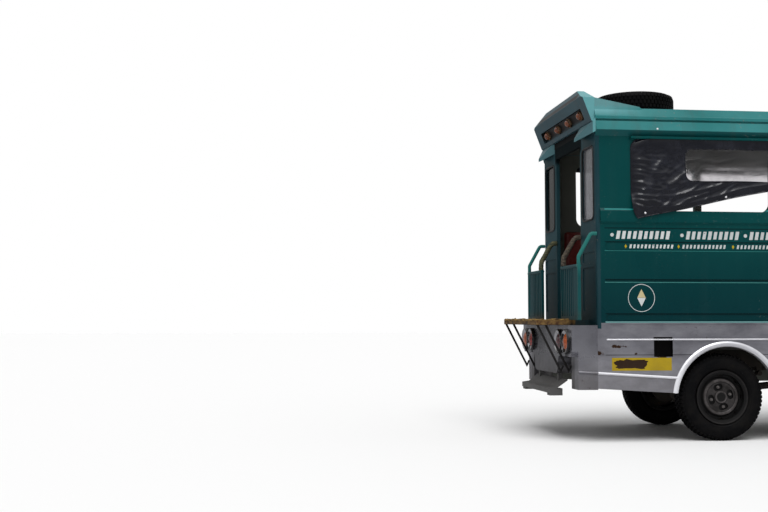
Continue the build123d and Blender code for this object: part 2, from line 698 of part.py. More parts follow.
# Roof: crowned shell with a wedge-shaped eave band, a dark gutter gap and the rear kick
crown = 60
roof_rise = 155
roof_edge_z = wall_top + roof_rise
roof_front = dash_x + 110
ceiling = 40
eave_inset = 20
# eave band and gutter: out from the wall's face, up from the wall's top
eave_steps = ((play, play), (play, -69), (35, -24), (12, 48), (-8, 48), (-8, 64), (14, 64), (16, 86), (6, 94),
              (-eave_inset, roof_rise))
kick_length = 363
header_bottom = wall_top + 50
header_rise = 200
header_top = header_bottom + header_rise
cap_rise = 90
cap_top = header_top + cap_rise
kick_shoulder_z = header_top - 15
kick_side_half = half_width - 15
kick_top_half = half_width - 285
cheek = 40
ridge_x = rear_x - 55
grab_rail_y = 250
grab_rail_z = wall_top + 30
grab_rail_radius = 14
grab_post_x = tuple(rear_x + 240 + count * saloon_length / 4 for count in range(5))


def roof_section(plane, filled=False):
    # half outline of the shell, or of a whole end wall when filled
    top_z = roof_edge_z + crown
    cove_z = roof_edge_z - ceiling - 25
    with BuildSketch(plane) as section:
        with BuildLine():
            Polyline((inner_width, wall_top + play),
                     *[(half_width + out, wall_top + up) for out, up in eave_steps])
            ThreePointArc((half_width - eave_inset, roof_edge_z),
                          dome_point(half_width - eave_inset, roof_edge_z, crown),
                          (0, top_z))
            if filled:
                Line((0, top_z), (0, wall_top + play))
                Line((0, wall_top + play), (inner_width, wall_top + play))
            else:
                Line((0, top_z), (0, top_z - ceiling))
                ThreePointArc((0, top_z - ceiling), dome_point(inner_width - 10, cove_z, top_z - ceiling - cove_z),
                              (inner_width - 10, cove_z))
                Line((inner_width - 10, cove_z), (inner_width, wall_top + play))
        make_face()
    return section.sketch


with BuildPart() as roof:
    extrude(roof_section(Plane.YZ.offset(rear_x)), amount=roof_front - rear_x)
    extrude(roof_section(Plane.YZ.offset(rear_x), True), amount=rear_panel)
    extrude(roof_section(Plane.YZ.offset(roof_front - rear_panel), True), amount=rear_panel)
    mirror(about=Plane.XZ)
    # front rail closes the shell over the windscreen
    block(dash_x - 60, roof_front, -inner_width, inner_width, screen_top_z + 30, wall_top + 60)
    # cheeks that climb to the header
    for side in (1, -1):
        with BuildSketch(Plane.XZ.offset(-side * (kick_side_half - cheek / 2))):
            with BuildLine():
                Polyline((rear_x, roof_edge_z - ceiling), (rear_x, kick_shoulder_z),
                         (rear_x + kick_length, roof_edge_z + 12),
                         (rear_x + kick_length + 60, roof_edge_z - ceiling), close=True)
            make_face()
        extrude(amount=cheek / 2, both=True)
        # grab rail under the ceiling
        long_bar(side * grab_rail_y, grab_rail_z, grab_rail_radius, grab_post_x[0] - 60, grab_post_x[-1] + 60)
        for post_x in grab_post_x:
            upright(post_x, side * grab_rail_y, 10, grab_rail_z, roof_edge_z + crown - ceiling)
roof.part.label = "roof"
export_step(roof.part, "parts/roof.step")


# Rear header: leaning box over the doorway with a lamp recess, hipped cap and pointed visors
header_lean = 77
header_half = half_width - 15
header_foot = 23
recess_half = half_width - 160
recess_low = header_bottom + 30
recess_high = recess_low + 98
recess_depth = 32
lean_angle = degrees(atan2(header_lean, header_top - header_bottom))
header_plane = Plane(origin=(rear_x - header_foot, 0, header_bottom), x_dir=(0, -1, 0),
                     z_dir=(-cos(radians(lean_angle)), 0, -sin(radians(lean_angle))))
visor_tip_x = rear_x - 105
# visors that droop from the corners to a point over each pillar window
with BuildPart() as visors:
    with BuildSketch(Plane.XZ):
        with BuildLine():
            Polyline((rear_x - play, header_bottom + 20), (visor_tip_x, wall_top - 62),
                     (visor_tip_x, wall_top - 88), (rear_x - play, wall_top - 35), close=True)
        make_face()
    extrude(amount=half_width + 20, both=True)
    with BuildSketch(Plane.XY.offset(wall_top - 150)):
        for side in (1, -1):
            with BuildLine():
                Polyline((rear_x + 5, side * (half_width + 22)), (visor_tip_x - 5, side * (half_width - 215)),
                         (rear_x + 5, side * (doorway_half + 45)), close=True)
            make_face()
    extrude(amount=300, mode=Mode.INTERSECT)

with BuildPart() as rear_header:
    with BuildSketch(Plane.XZ):
        with BuildLine():
            Polyline((rear_x - play, header_bottom), (rear_x - header_foot, header_bottom),
                     (rear_x - header_foot - header_lean, header_top), (ridge_x, cap_top),
                     (rear_x - play, cap_top), close=True)
        make_face()
    extrude(amount=header_half, both=True)
    with BuildSketch(Plane.YZ.offset(rear_x - 140)):
        for side in (1, -1):
            with BuildLine():
                Polyline((side * (header_half + 5), kick_shoulder_z), (side * kick_top_half, cap_top),
                         (side * kick_top_half, cap_top + 60),
                         (side * (header_half + 5), cap_top + 60), close=True)
            make_face()
    extrude(amount=200, mode=Mode.SUBTRACT)
    add(visors.part)
    # recess for the lamps, sunk square to the leaning face
    with BuildSketch(header_plane.offset(-recess_depth)):
        with Locations((0, (recess_low + recess_high) / 2 - header_bottom + 5)):
            RectangleRounded(2 * recess_half, recess_high - recess_low, 14)
    extrude(amount=recess_depth + 60, mode=Mode.SUBTRACT)
rear_header.part.label = "rear_header"
export_step(rear_header.part, "parts/rear_header.step")


# Four marker lamps in the header: ring and domed lens
marker_pitch = 320
marker_y = (-1.5 * marker_pitch, -0.5 * marker_pitch, 0.5 * marker_pitch, 1.5 * marker_pitch)
marker_radius = 38
marker_reach = 46
marker_centre = (recess_low + recess_high) / 2 - header_bottom + 5
with BuildPart() as marker_lamps:
    for place in marker_y:
        lamp_plane = Plane(origin=header_plane.origin + header_plane.x_dir * place
                           + header_plane.y_dir * marker_centre - header_plane.z_dir * (recess_depth - play),
                           x_dir=header_plane.x_dir, z_dir=header_plane.z_dir)
        with BuildSketch(Plane(origin=lamp_plane.origin, x_dir=lamp_plane.x_dir,
                               z_dir=-lamp_plane.y_dir)):
            with BuildLine():
                Polyline((0, 0), (marker_radius, 0), (marker_radius, 14), (marker_radius - 6, 18))
                ThreePointArc((marker_radius - 6, 18), dome_point(marker_radius - 6, 18, marker_reach - 18),
                              (0, marker_reach))
                Line((0, marker_reach), (0, 0))
            make_face()
        revolve(axis=Axis(lamp_plane.origin, lamp_plane.z_dir))
marker_lamps.part.label = "marker_lamps"
export_step(marker_lamps.part, "parts/marker_lamps.step")


# Rear platform: worn plate at floor level in an angle frame
platform_half = half_width - 200
platform_sheet = 14
platform_bottom = floor_bottom
strut_size = 16
strut_y = platform_half - 23
strut_top_x = (rear_x - platform_reach + 12, rear_x - platform_reach + 78)
strut_run_x = 186
strut_foot_z = 545
with BuildPart() as rear_platform:
    block(rear_x - platform_reach, rear_x - play, -platform_half, platform_half, platform_bottom, floor_top)
    block(rear_x - platform_reach + 30, rear_x - 30, -platform_half + 30, platform_half - 30,
          platform_bottom - 5, floor_top - platform_sheet, Mode.SUBTRACT)
    rib_x = rear_x - platform_reach / 2
    block(rib_x - 15, rib_x + 15, -platform_half + 5, platform_half - 5, platform_bottom, floor_top - 5)
    # struts from the rear edge down to the valance, in parallel pairs with hooked feet
    for side in (1, -1):
        for top_x in strut_top_x:
            with BuildSketch(Plane.XZ.offset(-side * strut_y)):
                with BuildLine():
                    Polyline((top_x - 9, platform_bottom + 5), (top_x + 9, platform_bottom + 5),
                             (top_x + strut_run_x + 2, strut_foot_z + 12),
                             (top_x + strut_run_x + 14, strut_foot_z + 44),
                             (top_x + strut_run_x + 26, strut_foot_z + 38),
                             (top_x + strut_run_x, strut_foot_z - 16), close=True)
                make_face()
            extrude(amount=strut_size / 2, both=True)
rear_platform.part.label = "rear_platform"
export_step(rear_platform.part, "parts/rear_platform.step")


# Slatted guards either side of the doorway, each with two bent handrails to the pillars
guard_x = rear_x - 145
guard_inner = doorway_half - 50
guard_outer = half_width + 15
guard_top = floor_top + 420
rail_radius = 15
slat_count = 6
plate_width = 150
rail_start_z = guard_top + 250
with BuildPart() as rear_guards:
    for side in (1, -1):
        low, high = sorted((side * guard_inner, side * guard_outer))
        cross_bar(guard_x, guard_top, rail_radius, low, high)
        block(guard_x - 12, guard_x + 12, low, high, floor_top + play, floor_top + 30)
        for post_y in (guard_inner + 10, guard_outer - 10):
            block(guard_x - 12, guard_x + 12, side * post_y - 10, side * post_y + 10, floor_top + 10,
                  guard_top)
        slat_zone = guard_outer - plate_width - guard_inner - 20
        slat_half = 0.3 * slat_zone / slat_count
        for count in range(slat_count):
            slat_y = guard_inner + 20 + slat_zone * (count + 0.5) / slat_count
            block(guard_x - 6, guard_x + 6, side * slat_y - slat_half, side * slat_y + slat_half, floor_top + 10,
                  guard_top)
        plate_low, plate_high = sorted((side * (guard_outer - plate_width), side * (guard_outer - 5)))
        block(guard_x - 5, guard_x + 5, plate_low, plate_high, floor_top + 10, guard_top)
        for rail_end_y in (guard_inner + 50, guard_outer - rail_radius - 2):
            with BuildLine() as rail_path:
                FilletPolyline((rear_x - play, side * rail_end_y, rail_start_z),
                               (rear_x - 45, side * rail_end_y, rail_start_z),
                               (guard_x, side * rail_end_y, guard_top + 70),
                               (guard_x, side * rail_end_y, guard_top), radius=30)
            with BuildSketch(Plane(origin=rail_path.line @ 0, z_dir=rail_path.line % 0)):
                Circle(rail_radius)
            sweep(path=rail_path.line)
rear_guards.part.label = "rear_guards"
export_step(rear_guards.part, "parts/rear_guards.step")


# Rear valance: full-width pressed box for the tail lamps, with a deeper middle apron
valance_depth = 205
valance_sheet = 10
lamp_band_bottom = floor_bottom - 245
apron_half = rail_y + 70
apron_bottom = floor_bottom - 390
skirt_depth = 155
recess_back = 62
plate_hole_y = 100
plate_hole_z = 600
plate_hole_radius = 4


def apron_outline(plane, inset, top):
    outer = half_width - inset
    low = lamp_band_bottom + inset
    apron = apron_half - inset
    base = apron_bottom + inset
    with BuildSketch(plane) as outline:
        with BuildLine():
            Line((0, top), (outer, top))
            Line((outer, top), (outer, low + 40))
            Line((outer, low + 40), (outer - 40, low))
            Line((outer - 40, low), (apron + 60, low))
            ThreePointArc((apron + 60, low), (apron + 18, low - 18), (apron, low - 60))
            ThreePointArc((apron, low - 60), (apron - 18, base + 20), (apron - 60, base))
            Line((apron - 60, base), (0, base))
            Line((0, base), (0, top))
        make_face()
        mirror(about=Plane.YZ)
    return outline.sketch


with BuildPart() as rear_valance:
    valance_top = platform_bottom - play
    extrude(apron_outline(Plane.YZ.offset(rear_x - valance_depth), 0, valance_top),
            amount=valance_depth - play)
    extrude(apron_outline(Plane.YZ.offset(rear_x - valance_depth + valance_sheet), valance_sheet,
                          valance_top + 5), amount=valance_depth, mode=Mode.SUBTRACT)
    # skirt corners that carry the side walls round to the rear
    for side in (1, -1):
        low, high = sorted((side * inner_width, side * half_width))
        block(rear_x - skirt_depth, rear_x - play, low, high, skirt_bottom + 30, lamp_band_bottom + 60)
        extrude(bar_end((rear_x - skirt_depth, side * half_width, low_bead_z + 8),
                        (rear_x, side * half_width, low_bead_z), bead_radius), amount=skirt_depth - play)
        low, high = sorted((side * (strut_y + 40), side * half_width))
        block(rear_x - skirt_depth, rear_x - skirt_depth + valance_sheet, low, high, skirt_bottom + 30,
              lamp_band_bottom + 5)
        # set-back wall under the lamp boxes
        low, high = sorted((side * (apron_half - 20), side * (inner_width + 5)))
        block(rear_x - recess_back, rear_x - recess_back + valance_sheet, low, high, skirt_bottom + 60,
              lamp_band_bottom + 30)
        # holes for the number plate
        long_bar(side * plate_hole_y, plate_hole_z, plate_hole_radius, rear_x - valance_depth - 5,
                 rear_x - valance_depth + valance_sheet + 5, Mode.SUBTRACT)
rear_valance.part.label = "rear_valance"
export_step(rear_valance.part, "parts/rear_valance.step")


# Tail lamps: two round lamps on each side, the lens sunk in a dished bezel
bezel_radius = 98
lamp_pitch = 2 * bezel_radius + 2
lamp_inner_y = half_width - 325
lamp_z = floor_bottom - 130
lens_radius = bezel_radius - 34
lamp_reach = 30
with BuildPart() as tail_lamps:
    for side in (1, -1):
        for place in (lamp_inner_y, lamp_inner_y + lamp_pitch):
            origin = (rear_x - valance_depth - play, side * place, lamp_z)
            with BuildSketch(Plane(origin=origin, x_dir=(0, 1, 0), z_dir=(0, 0, 1))):
                with BuildLine():
                    Polyline((0, 0), (bezel_radius, 0), (bezel_radius, 14), (bezel_radius - 7, 26),
                             (bezel_radius - 13, 26), (lens_radius, 12))
                    ThreePointArc((lens_radius, 12), dome_point(lens_radius, 12, lamp_reach - 12),
                                  (0, lamp_reach))
                    Line((0, lamp_reach), (0, 0))
                make_face()
            revolve(axis=Axis(origin, (-1, 0, 0)))
tail_lamps.part.label = "tail_lamps"
export_step(tail_lamps.part, "parts/tail_lamps.step")


# Lower step: folded galvanised tread with end plates and two hangers up to the frame rails
step_rear = rear_x - 300
step_front = rear_x - 160
step_half = 440
step_top = apron_bottom - 110
with BuildPart() as rear_step:
    with BuildSketch(Plane.XZ):
        with BuildLine():
            Polyline((step_rear, step_top - 40), (step_rear, step_top), (step_rear + 60, step_top + 8),
                     (step_front, step_top + 70), (step_front + 12, step_top + 70),
                     (step_front + 12, step_top + 58), (step_rear + 62, step_top - 4),
                     (step_rear + 12, step_top - 10), (step_rear + 12, step_top - 40), close=True)
        make_face()
    extrude(amount=step_half, both=True)
    for side in (1, -1):
        low, high = sorted((side * (rail_y - 20), side * (rail_y + 20)))
        block(step_front - 25, step_front + 10, low, high, step_top + 50, apron_bottom - play)
        low, high = sorted((side * (step_half - 90), side * step_half))
        block(step_rear + 8, step_front - 30, low, high, step_top - 60, step_top - 4)
rear_step.part.label = "rear_step"
export_step(rear_step.part, "parts/rear_step.step")


# Spare wheel lying flat on the roof behind the middle
spare_x = rear_x + 600
spare_y = 60
spare_z = roof_edge_z + crown + half_tread + play
spare_plane = Plane(origin=(spare_x, spare_y, spare_z), x_dir=(1, 0, 0), z_dir=(0, -1, 0))
spare_spin = Axis(spare_plane.origin, spare_plane.y_dir)
with BuildPart() as spare_tyre:
    revolve(tyre_section(spare_plane), axis=spare_spin)
spare_tyre.part.label = "spare_tyre"
export_step(spare_tyre.part, "parts/spare_tyre.step")

with BuildPart() as spare_wheel:
    revolve(wheel_section(spare_plane), axis=spare_spin)
    extrude(hand_holes(spare_plane), amount=60, mode=Mode.SUBTRACT)
    extrude(nut_pockets(spare_plane), amount=60, mode=Mode.SUBTRACT)
spare_wheel.part.label = "spare_wheel"
export_step(spare_wheel.part, "parts/spare_wheel.step")


# Benches: a boxed frame along each side of the saloon, with seat pad and back pad
bench_rear = rear_x + 160
bench_front = cab_x - 110
bench_inner = 350
bench_top = floor_top + 335
bulkhead_top = floor_top + 555
back_top = sill_height - 55
cab_seat_z = cab_floor_top + 320
pad_height = 85
with BuildPart() as seat_frames:
    for side in (1, -1):
        low, high = sorted((side * bench_inner, side * (inner_width - play)))
        block(bench_rear, bench_front, low, high, floor_top, bench_top)
        low, high = sorted((side * (bench_inner + 20), side * (inner_width - 20)))
        block(bench_rear + 20, bench_front - 20, low, high, floor_top - 5, bench_top - 20, Mode.SUBTRACT)
        low, high = sorted((side * 80, side * (inner_width - 60)))
        block(cab_x + 70, cab_x + 560, low, high, cab_floor_top, cab_seat_z)
    # low bulkhead behind the cab seats
    block(cab_x - floor_thickness, cab_x, -inner_width + play, inner_width - play, floor_top, bulkhead_top)
seat_frames.part.label = "seat_frames"
export_step(seat_frames.part, "parts/seat_frames.step")

with BuildPart() as bench_pads:
    for side in (1, -1):
        low, high = sorted((side * (bench_inner - 10), side * (inner_width - 72)))
        block(bench_rear + 5, bench_front - 5, low, high, bench_top + play, bench_top + pad_height)
        low, high = sorted((side * (inner_width - 70), side * (inner_width - play)))
        block(bench_rear + 5, bench_front - 5, low, high, bench_top + pad_height - 30, back_top)
    fillet(bench_pads.edges().filter_by(Axis.X), radius=18)
bench_pads.part.label = "bench_pads"
export_step(bench_pads.part, "parts/bench_pads.step")

with BuildPart() as cab_pads:
    for side in (1, -1):
        low, high = sorted((side * 85, side * (inner_width - 65)))
        block(cab_x + 130, cab_x + 570, low, high, cab_seat_z + play, cab_seat_z + 100)
        block(cab_x + play, cab_x + 110, low, high, cab_seat_z + 20, cab_seat_z + 580)
    fillet(cab_pads.edges().filter_by(Axis.Y), radius=25)
cab_pads.part.label = "cab_pads"
export_step(cab_pads.part, "parts/cab_pads.step")


# Window curtains: the right one let down over the belt, the left one rolled under the eave
curtain_start = rear_x + 292
curtain_end = cab_x - 30
curtain_gap = 6
curtain_thick = 8
curtain_top = window_top + 18
roll_radius = 38
roll_z = window_top - 25
curtain_low_rear = sill_height - 53
curtain_low_mid = sill_height + 105
curtain_low_front = sill_height + 170
curtain_y = half_width + belt_proud + curtain_gap
with BuildPart() as curtains:
    with BuildSketch(Plane.XZ.offset(curtain_y)):
        with BuildLine():
            Polyline((curtain_start, curtain_top), (curtain_start + 58, curtain_low_rear),
                     (curtain_start + 700, curtain_low_mid), (curtain_start + 1050, curtain_low_front),
                     (curtain_end, curtain_low_front), (curtain_end, curtain_top), close=True)
        make_face()
    extrude(amount=curtain_thick)
    # batten that carries the curtain on the wall
    block(curtain_start, curtain_end, -curtain_y - curtain_thick, -half_width - play, curtain_top - 18,
          curtain_top)
    long_bar(half_width + roll_radius + play, roll_z, roll_radius, curtain_start, curtain_end)
curtains.part.label = "curtains"
export_step(curtains.part, "parts/curtains.step")


# Cab doors: half-height, hinged at the front post on an axis outside the skin
handle_z = door_top - 325
for name, side in (("left", 1), ("right", -1)):
    with BuildPart() as door:
        block(doorway_rear + door_gap, doorway_front - door_gap, inner_width, half_width,
              doorway_bottom + door_gap, door_top)
        fillet(door.edges().filter_by(Axis.Y).group_by(Axis.Z)[-1], radius=60)
        fillet(door.edges().filter_by(Axis.Y).group_by(Axis.Z)[0], radius=14)
        with BuildSketch(Plane.XZ.offset(-half_width + strip_depth)):
            with Locations(((doorway_rear + doorway_front) / 2, (doorway_bottom + door_top) / 2 - 13)):
                RectangleRounded(doorway_front - doorway_rear - 150, door_top - doorway_bottom - 357, 60)
        extrude(amount=-2 * strip_depth, mode=Mode.SUBTRACT)
        for strap_z in strap_places:
            low, high = strap_z - hinge_half, strap_z + hinge_half
            block(hinge_x - 170, hinge_x - 8, half_width, half_width + 6, low, high)
            upright(hinge_x, hinge_y, hinge_barrel, low, high)
            block(hinge_x - 14, hinge_x - 3, half_width, hinge_y, low, high)
        block(doorway_rear + 30, doorway_rear + 50, half_width - 2, half_width + 28, handle_z - 8, handle_z + 8)
        block(doorway_rear + 130, doorway_rear + 150, half_width - 2, half_width + 28, handle_z - 8, handle_z + 8)
        block(doorway_rear + 20, doorway_rear + 160, half_width + 20, half_width + 30, handle_z - 13, handle_z + 13)
        if side < 0:
            mirror(about=Plane.XZ, mode=Mode.REPLACE)
    door.part.label = f"door_{name}"
    export_step(door.part, f"parts/door_{name}.step")


# Front wings: flat tops with a turned-down edge, swept down behind the wheel, and engine bay sides
wing_top = tyre_diameter + 210
wing_sheet = 12
wing_front = nose_x + 40
wing_tail_z = wing_top - 410
grille_foot_sheet = 62
with BuildPart() as front_wings:
    with BuildSketch(Plane.XZ.offset(-wing_inner)):
        with BuildLine():
            Polyline((dash_x + firewall + play, wing_tail_z), (dash_x + firewall + play, wing_tail_z + 60),
                     (dash_x + 150, wing_top - 60), (dash_x + 230, wing_top), (wing_front - 110, wing_top),
                     (wing_front, wing_top - 60), (wing_front, wing_top - 180),
                     (wing_front - wing_sheet, wing_top - 180), (wing_front - wing_sheet, wing_top - 66),
                     (wing_front - 114, wing_top - wing_sheet), (dash_x + 235, wing_top - wing_sheet),
                     (dash_x + 162, wing_top - 68), (dash_x + firewall + wing_sheet + 4, wing_tail_z + 40),
                     (dash_x + firewall + wing_sheet + 4, wing_tail_z), close=True)
        make_face()
    extrude(amount=-(half_width - wing_inner))
    # turned-down outer edge
    with BuildSketch(Plane.XZ.offset(-(half_width - wing_sheet))):
        with BuildLine():
            Polyline((dash_x + firewall + play, wing_tail_z), (dash_x + firewall + play, wing_tail_z + 60),
                     (dash_x + 150, wing_top - 60), (dash_x + 230, wing_top), (wing_front - 110, wing_top),
                     (wing_front, wing_top - 60), (wing_front, wing_top - 180),
                     (wing_front - 50, wing_top - 180), (wing_front - 50, wing_top - 100),
                     (wing_front - 130, wing_top - 62), (dash_x + 258, wing_top - 62),
                     (dash_x + 200, wing_top - 100), (dash_x + 85, wing_tail_z), close=True)
        make_face()
    extrude(amount=-wing_sheet)
    block(dash_x + firewall + play, nose_x - grille_foot_sheet - play, wing_inner - wing_sheet, wing_inner,
          rail_top + 15, bonnet_rear_top - 225)
    mirror(about=Plane.XZ)
front_wings.part.label = "front_wings"
export_step(front_wings.part, "parts/front_wings.step")


# Grille panel: upright front with vertical bars between the headlamp rings
bonnet_side_z = bonnet_rear_top - 220
grille_half = wing_inner
grille_bottom = rail_top + play
grille_top = bonnet_rear_top - 60
grille_sheet = 36
bar_count = 11
bar_span = 2 * grille_half - 420
bar_low = grille_bottom + 80
bar_high = grille_top - 80
lamp_y = grille_half - 105
headlamp_z = bonnet_side_z - 95
headlamp_radius = 92
with BuildPart() as grille:
    block(nose_x - grille_foot_sheet, nose_x, -grille_half, grille_half, grille_bottom, grille_top)
    fillet(grille.edges().filter_by(Axis.X).group_by(Axis.Z)[-1], radius=60)
    # the rear face leans with the front edge of the bonnet
    with BuildSketch(Plane.XZ):
        with BuildLine():
            Polyline((nose_x - grille_foot_sheet - 5, bonnet_side_z), (nose_x - grille_foot_sheet, bonnet_side_z),
                     (nose_x - grille_sheet, grille_top + 1), (nose_x - grille_foot_sheet - 5, grille_top + 1),
                     close=True)
        make_face()
    extrude(amount=grille_half + 5, both=True, mode=Mode.SUBTRACT)
    block(nose_x - grille_foot_sheet - 5, nose_x + 5, -bar_span / 2, bar_span / 2, bar_low, bar_high, Mode.SUBTRACT)
    bar_pitch = bar_span / (bar_count + 1)
    for count in range(bar_count):
        bar_y = -bar_span / 2 + bar_pitch * (count + 1)
        block(nose_x - 25, nose_x + 8, bar_y - 7, bar_y + 7, bar_low - 5, bar_high + 5)
    for side in (1, -1):
        long_bar(side * lamp_y, headlamp_z, headlamp_radius - 10, nose_x - grille_foot_sheet - 5, nose_x + 5,
                 Mode.SUBTRACT)
grille.part.label = "grille"
export_step(grille.part, "parts/grille.step")


# Headlamps and front indicators
with BuildPart() as headlamps:
    for side in (1, -1):
        origin = (nose_x + play, side * lamp_y, headlamp_z)
        with BuildSketch(Plane(origin=origin, x_dir=(0, 1, 0), z_dir=(0, 0, -1))):
            with BuildLine():
                Polyline((0, 0), (headlamp_radius, 0), (headlamp_radius, 20), (headlamp_radius - 8, 30),
                         (headlamp_radius - 14, 24))
                ThreePointArc((headlamp_radius - 14, 24), dome_point(headlamp_radius - 14, 24, 18), (0, 42))
                Line((0, 42), (0, 0))
            make_face()
        revolve(axis=Axis(origin, (1, 0, 0)))
        origin = (wing_front + play, side * 600, wing_top - 125)
        with BuildSketch(Plane(origin=origin, x_dir=(0, 1, 0), z_dir=(0, 0, -1))):
            with BuildLine():
                Polyline((0, 0), (42, 0), (42, 10), (36, 16))
                ThreePointArc((36, 16), dome_point(36, 16, 14), (0, 30))
                Line((0, 30), (0, 0))
            make_face()
        revolve(axis=Axis(origin, (1, 0, 0)))
headlamps.part.label = "headlamps"
export_step(headlamps.part, "parts/headlamps.step")


# Front bumper: channel bar on the rail ends with a towing eye plate
bumper_half = half_width - 20
bumper_bottom = rail_bottom - 90
bumper_top = rail_bottom + 60
bumper_sheet = 10
tow_eye_z = bumper_bottom - 38
tow_eye_radius = 15
with BuildPart() as front_bumper:
    with BuildSketch(Plane.XZ):
        with BuildLine():
            FilletPolyline((bumper_x - 90, bumper_bottom), (bumper_x, bumper_bottom), (bumper_x, bumper_top),
                           (bumper_x - 90, bumper_top), radius=25)
            FilletPolyline((bumper_x - 90, bumper_bottom + bumper_sheet),
                           (bumper_x - bumper_sheet, bumper_bottom + bumper_sheet),
                           (bumper_x - bumper_sheet, bumper_top - bumper_sheet),
                           (bumper_x - 90, bumper_top - bumper_sheet), radius=15)
            Line((bumper_x - 90, bumper_bottom), (bumper_x - 90, bumper_bottom + bumper_sheet))
            Line((bumper_x - 90, bumper_top), (bumper_x - 90, bumper_top - bumper_sheet))
        make_face()
    extrude(amount=bumper_half, both=True)
    for side in (1, -1):
        block(rail_front + play, bumper_x - bumper_sheet / 2, side * rail_y - 30, side * rail_y + 30,
              rail_bottom, bumper_top - bumper_sheet / 2)
        # towing eye under each rail end
        block(bumper_x - 74, bumper_x - 14, side * rail_y - 9, side * rail_y + 9, tow_eye_z - 30, bumper_bottom + 5)
        cross_bar(bumper_x - 44, tow_eye_z, tow_eye_radius, side * rail_y - 20, side * rail_y + 20,
                  Mode.SUBTRACT)
        # holes for the number plate
        long_bar(side * plate_hole_y, (bumper_bottom + bumper_top) / 2, plate_hole_radius,
                 bumper_x - bumper_sheet - 5, bumper_x + 5, Mode.SUBTRACT)
front_bumper.part.label = "front_bumper"
export_step(front_bumper.part, "parts/front_bumper.step")


# Bonnet: crowned shell, narrower at the nose, hinged along its rear edge
bonnet_nose_top = bonnet_rear_top - 62
bonnet_sheet = 10
bonnet_front_x = nose_x - grille_sheet - door_gap
bonnet_rear_half = wing_inner + 30
bonnet_nose_half = wing_inner + 8
lean_back = grille_foot_sheet - grille_sheet


def bonnet_outline(plane, half, edge_z, top_z, inset):
    with BuildSketch(plane) as outline:
        with BuildLine():
            Polyline((half - inset, edge_z - inset), (half - inset, bonnet_side_z - inset),
                     (inset - half, bonnet_side_z - inset), (inset - half, edge_z - inset))
            ThreePointArc((inset - half, edge_z - inset), (0, top_z - inset), (half - inset, edge_z - inset))
        make_face()
    return outline.sketch


with BuildPart() as bonnet:
    loft([bonnet_outline(Plane.YZ.offset(bonnet_rear_x), bonnet_rear_half, bonnet_rear_top - 45,
                         bonnet_rear_top, 0),
          bonnet_outline(Plane.YZ.offset(bonnet_front_x), bonnet_nose_half, bonnet_nose_top - 40,
                         bonnet_nose_top, 0)])
    loft([bonnet_outline(Plane.YZ.offset(bonnet_rear_x - 1), bonnet_rear_half, bonnet_rear_top - 45,
                         bonnet_rear_top, bonnet_sheet),
          bonnet_outline(Plane.YZ.offset(bonnet_front_x + 1), bonnet_nose_half, bonnet_nose_top - 40,
                         bonnet_nose_top, bonnet_sheet)], mode=Mode.SUBTRACT)
    with BuildSketch(Plane.XZ):
        with BuildLine():
            Polyline((bonnet_front_x + 20, bonnet_side_z - 20), (bonnet_front_x - lean_back, bonnet_side_z - 20),
                     (bonnet_front_x - lean_back, bonnet_side_z), (bonnet_front_x, grille_top + 20),
                     (bonnet_front_x + 20, grille_top + 20), close=True)
        make_face()
    extrude(amount=bonnet_rear_half, both=True, mode=Mode.SUBTRACT)
    for side in (1, -1):
        low, high = side * bonnet_hinge_y - bonnet_knuckle, side * bonnet_hinge_y + bonnet_knuckle
        block(bonnet_pin_x + 2, bonnet_rear_x + 90, low, high, bonnet_rear_top - 26, bonnet_rear_top + 2)
        cross_bar(bonnet_pin_x, bonnet_pin_z, bonnet_pin_radius, low, high)
bonnet.part.label = "bonnet"
export_step(bonnet.part, "parts/bonnet.step")


# Steering wheel and column, turning about the column's axis
with BuildPart() as steering_wheel:
    with Locations(column_plane):
        Torus(steering_radius, 13)
        Cylinder(34, 50)
    with BuildSketch(column_plane.offset(-8)):
        for turn in (90, 210, 330):
            with PolarLocations(0, 1, start_angle=turn):
                with Locations((steering_radius / 2, 0)):
                    Rectangle(steering_radius, 26)
    extrude(amount=12)
    with BuildSketch(column_plane.offset(-column_length)):
        Circle(20)
    extrude(amount=column_length)
steering_wheel.part.label = "steering_wheel"
export_step(steering_wheel.part, "parts/steering_wheel.step")


# Mirrors on arms at the windscreen posts
mirror_y = half_width + 120
mirror_z = sill_height + 80
mirror_x = dash_x + 47
with BuildPart() as mirrors:
    for side in (1, -1):
        with BuildSketch(Plane.YZ.offset(mirror_x)):
            with Locations((side * mirror_y, mirror_z)):
                RectangleRounded(150, 230, 30)
        extrude(amount=24)
        for arm_height in (mirror_z - 65, mirror_z + 65):
            with BuildLine() as arm_path:
                FilletPolyline((mirror_x - 62, side * (half_width + play), arm_height),
                               (mirror_x - 62, side * (mirror_y - 30), arm_height),
                               (mirror_x + 5, side * (mirror_y - 30), arm_height), radius=25)
            with BuildSketch(Plane(origin=arm_path.line @ 0, z_dir=arm_path.line % 0)):
                Circle(7)
            sweep(path=arm_path.line)
mirrors.part.label = "mirrors"
export_step(mirrors.part, "parts/mirrors.step")
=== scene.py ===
import bpy, bmesh, math
from mathutils import Vector, Matrix, noise


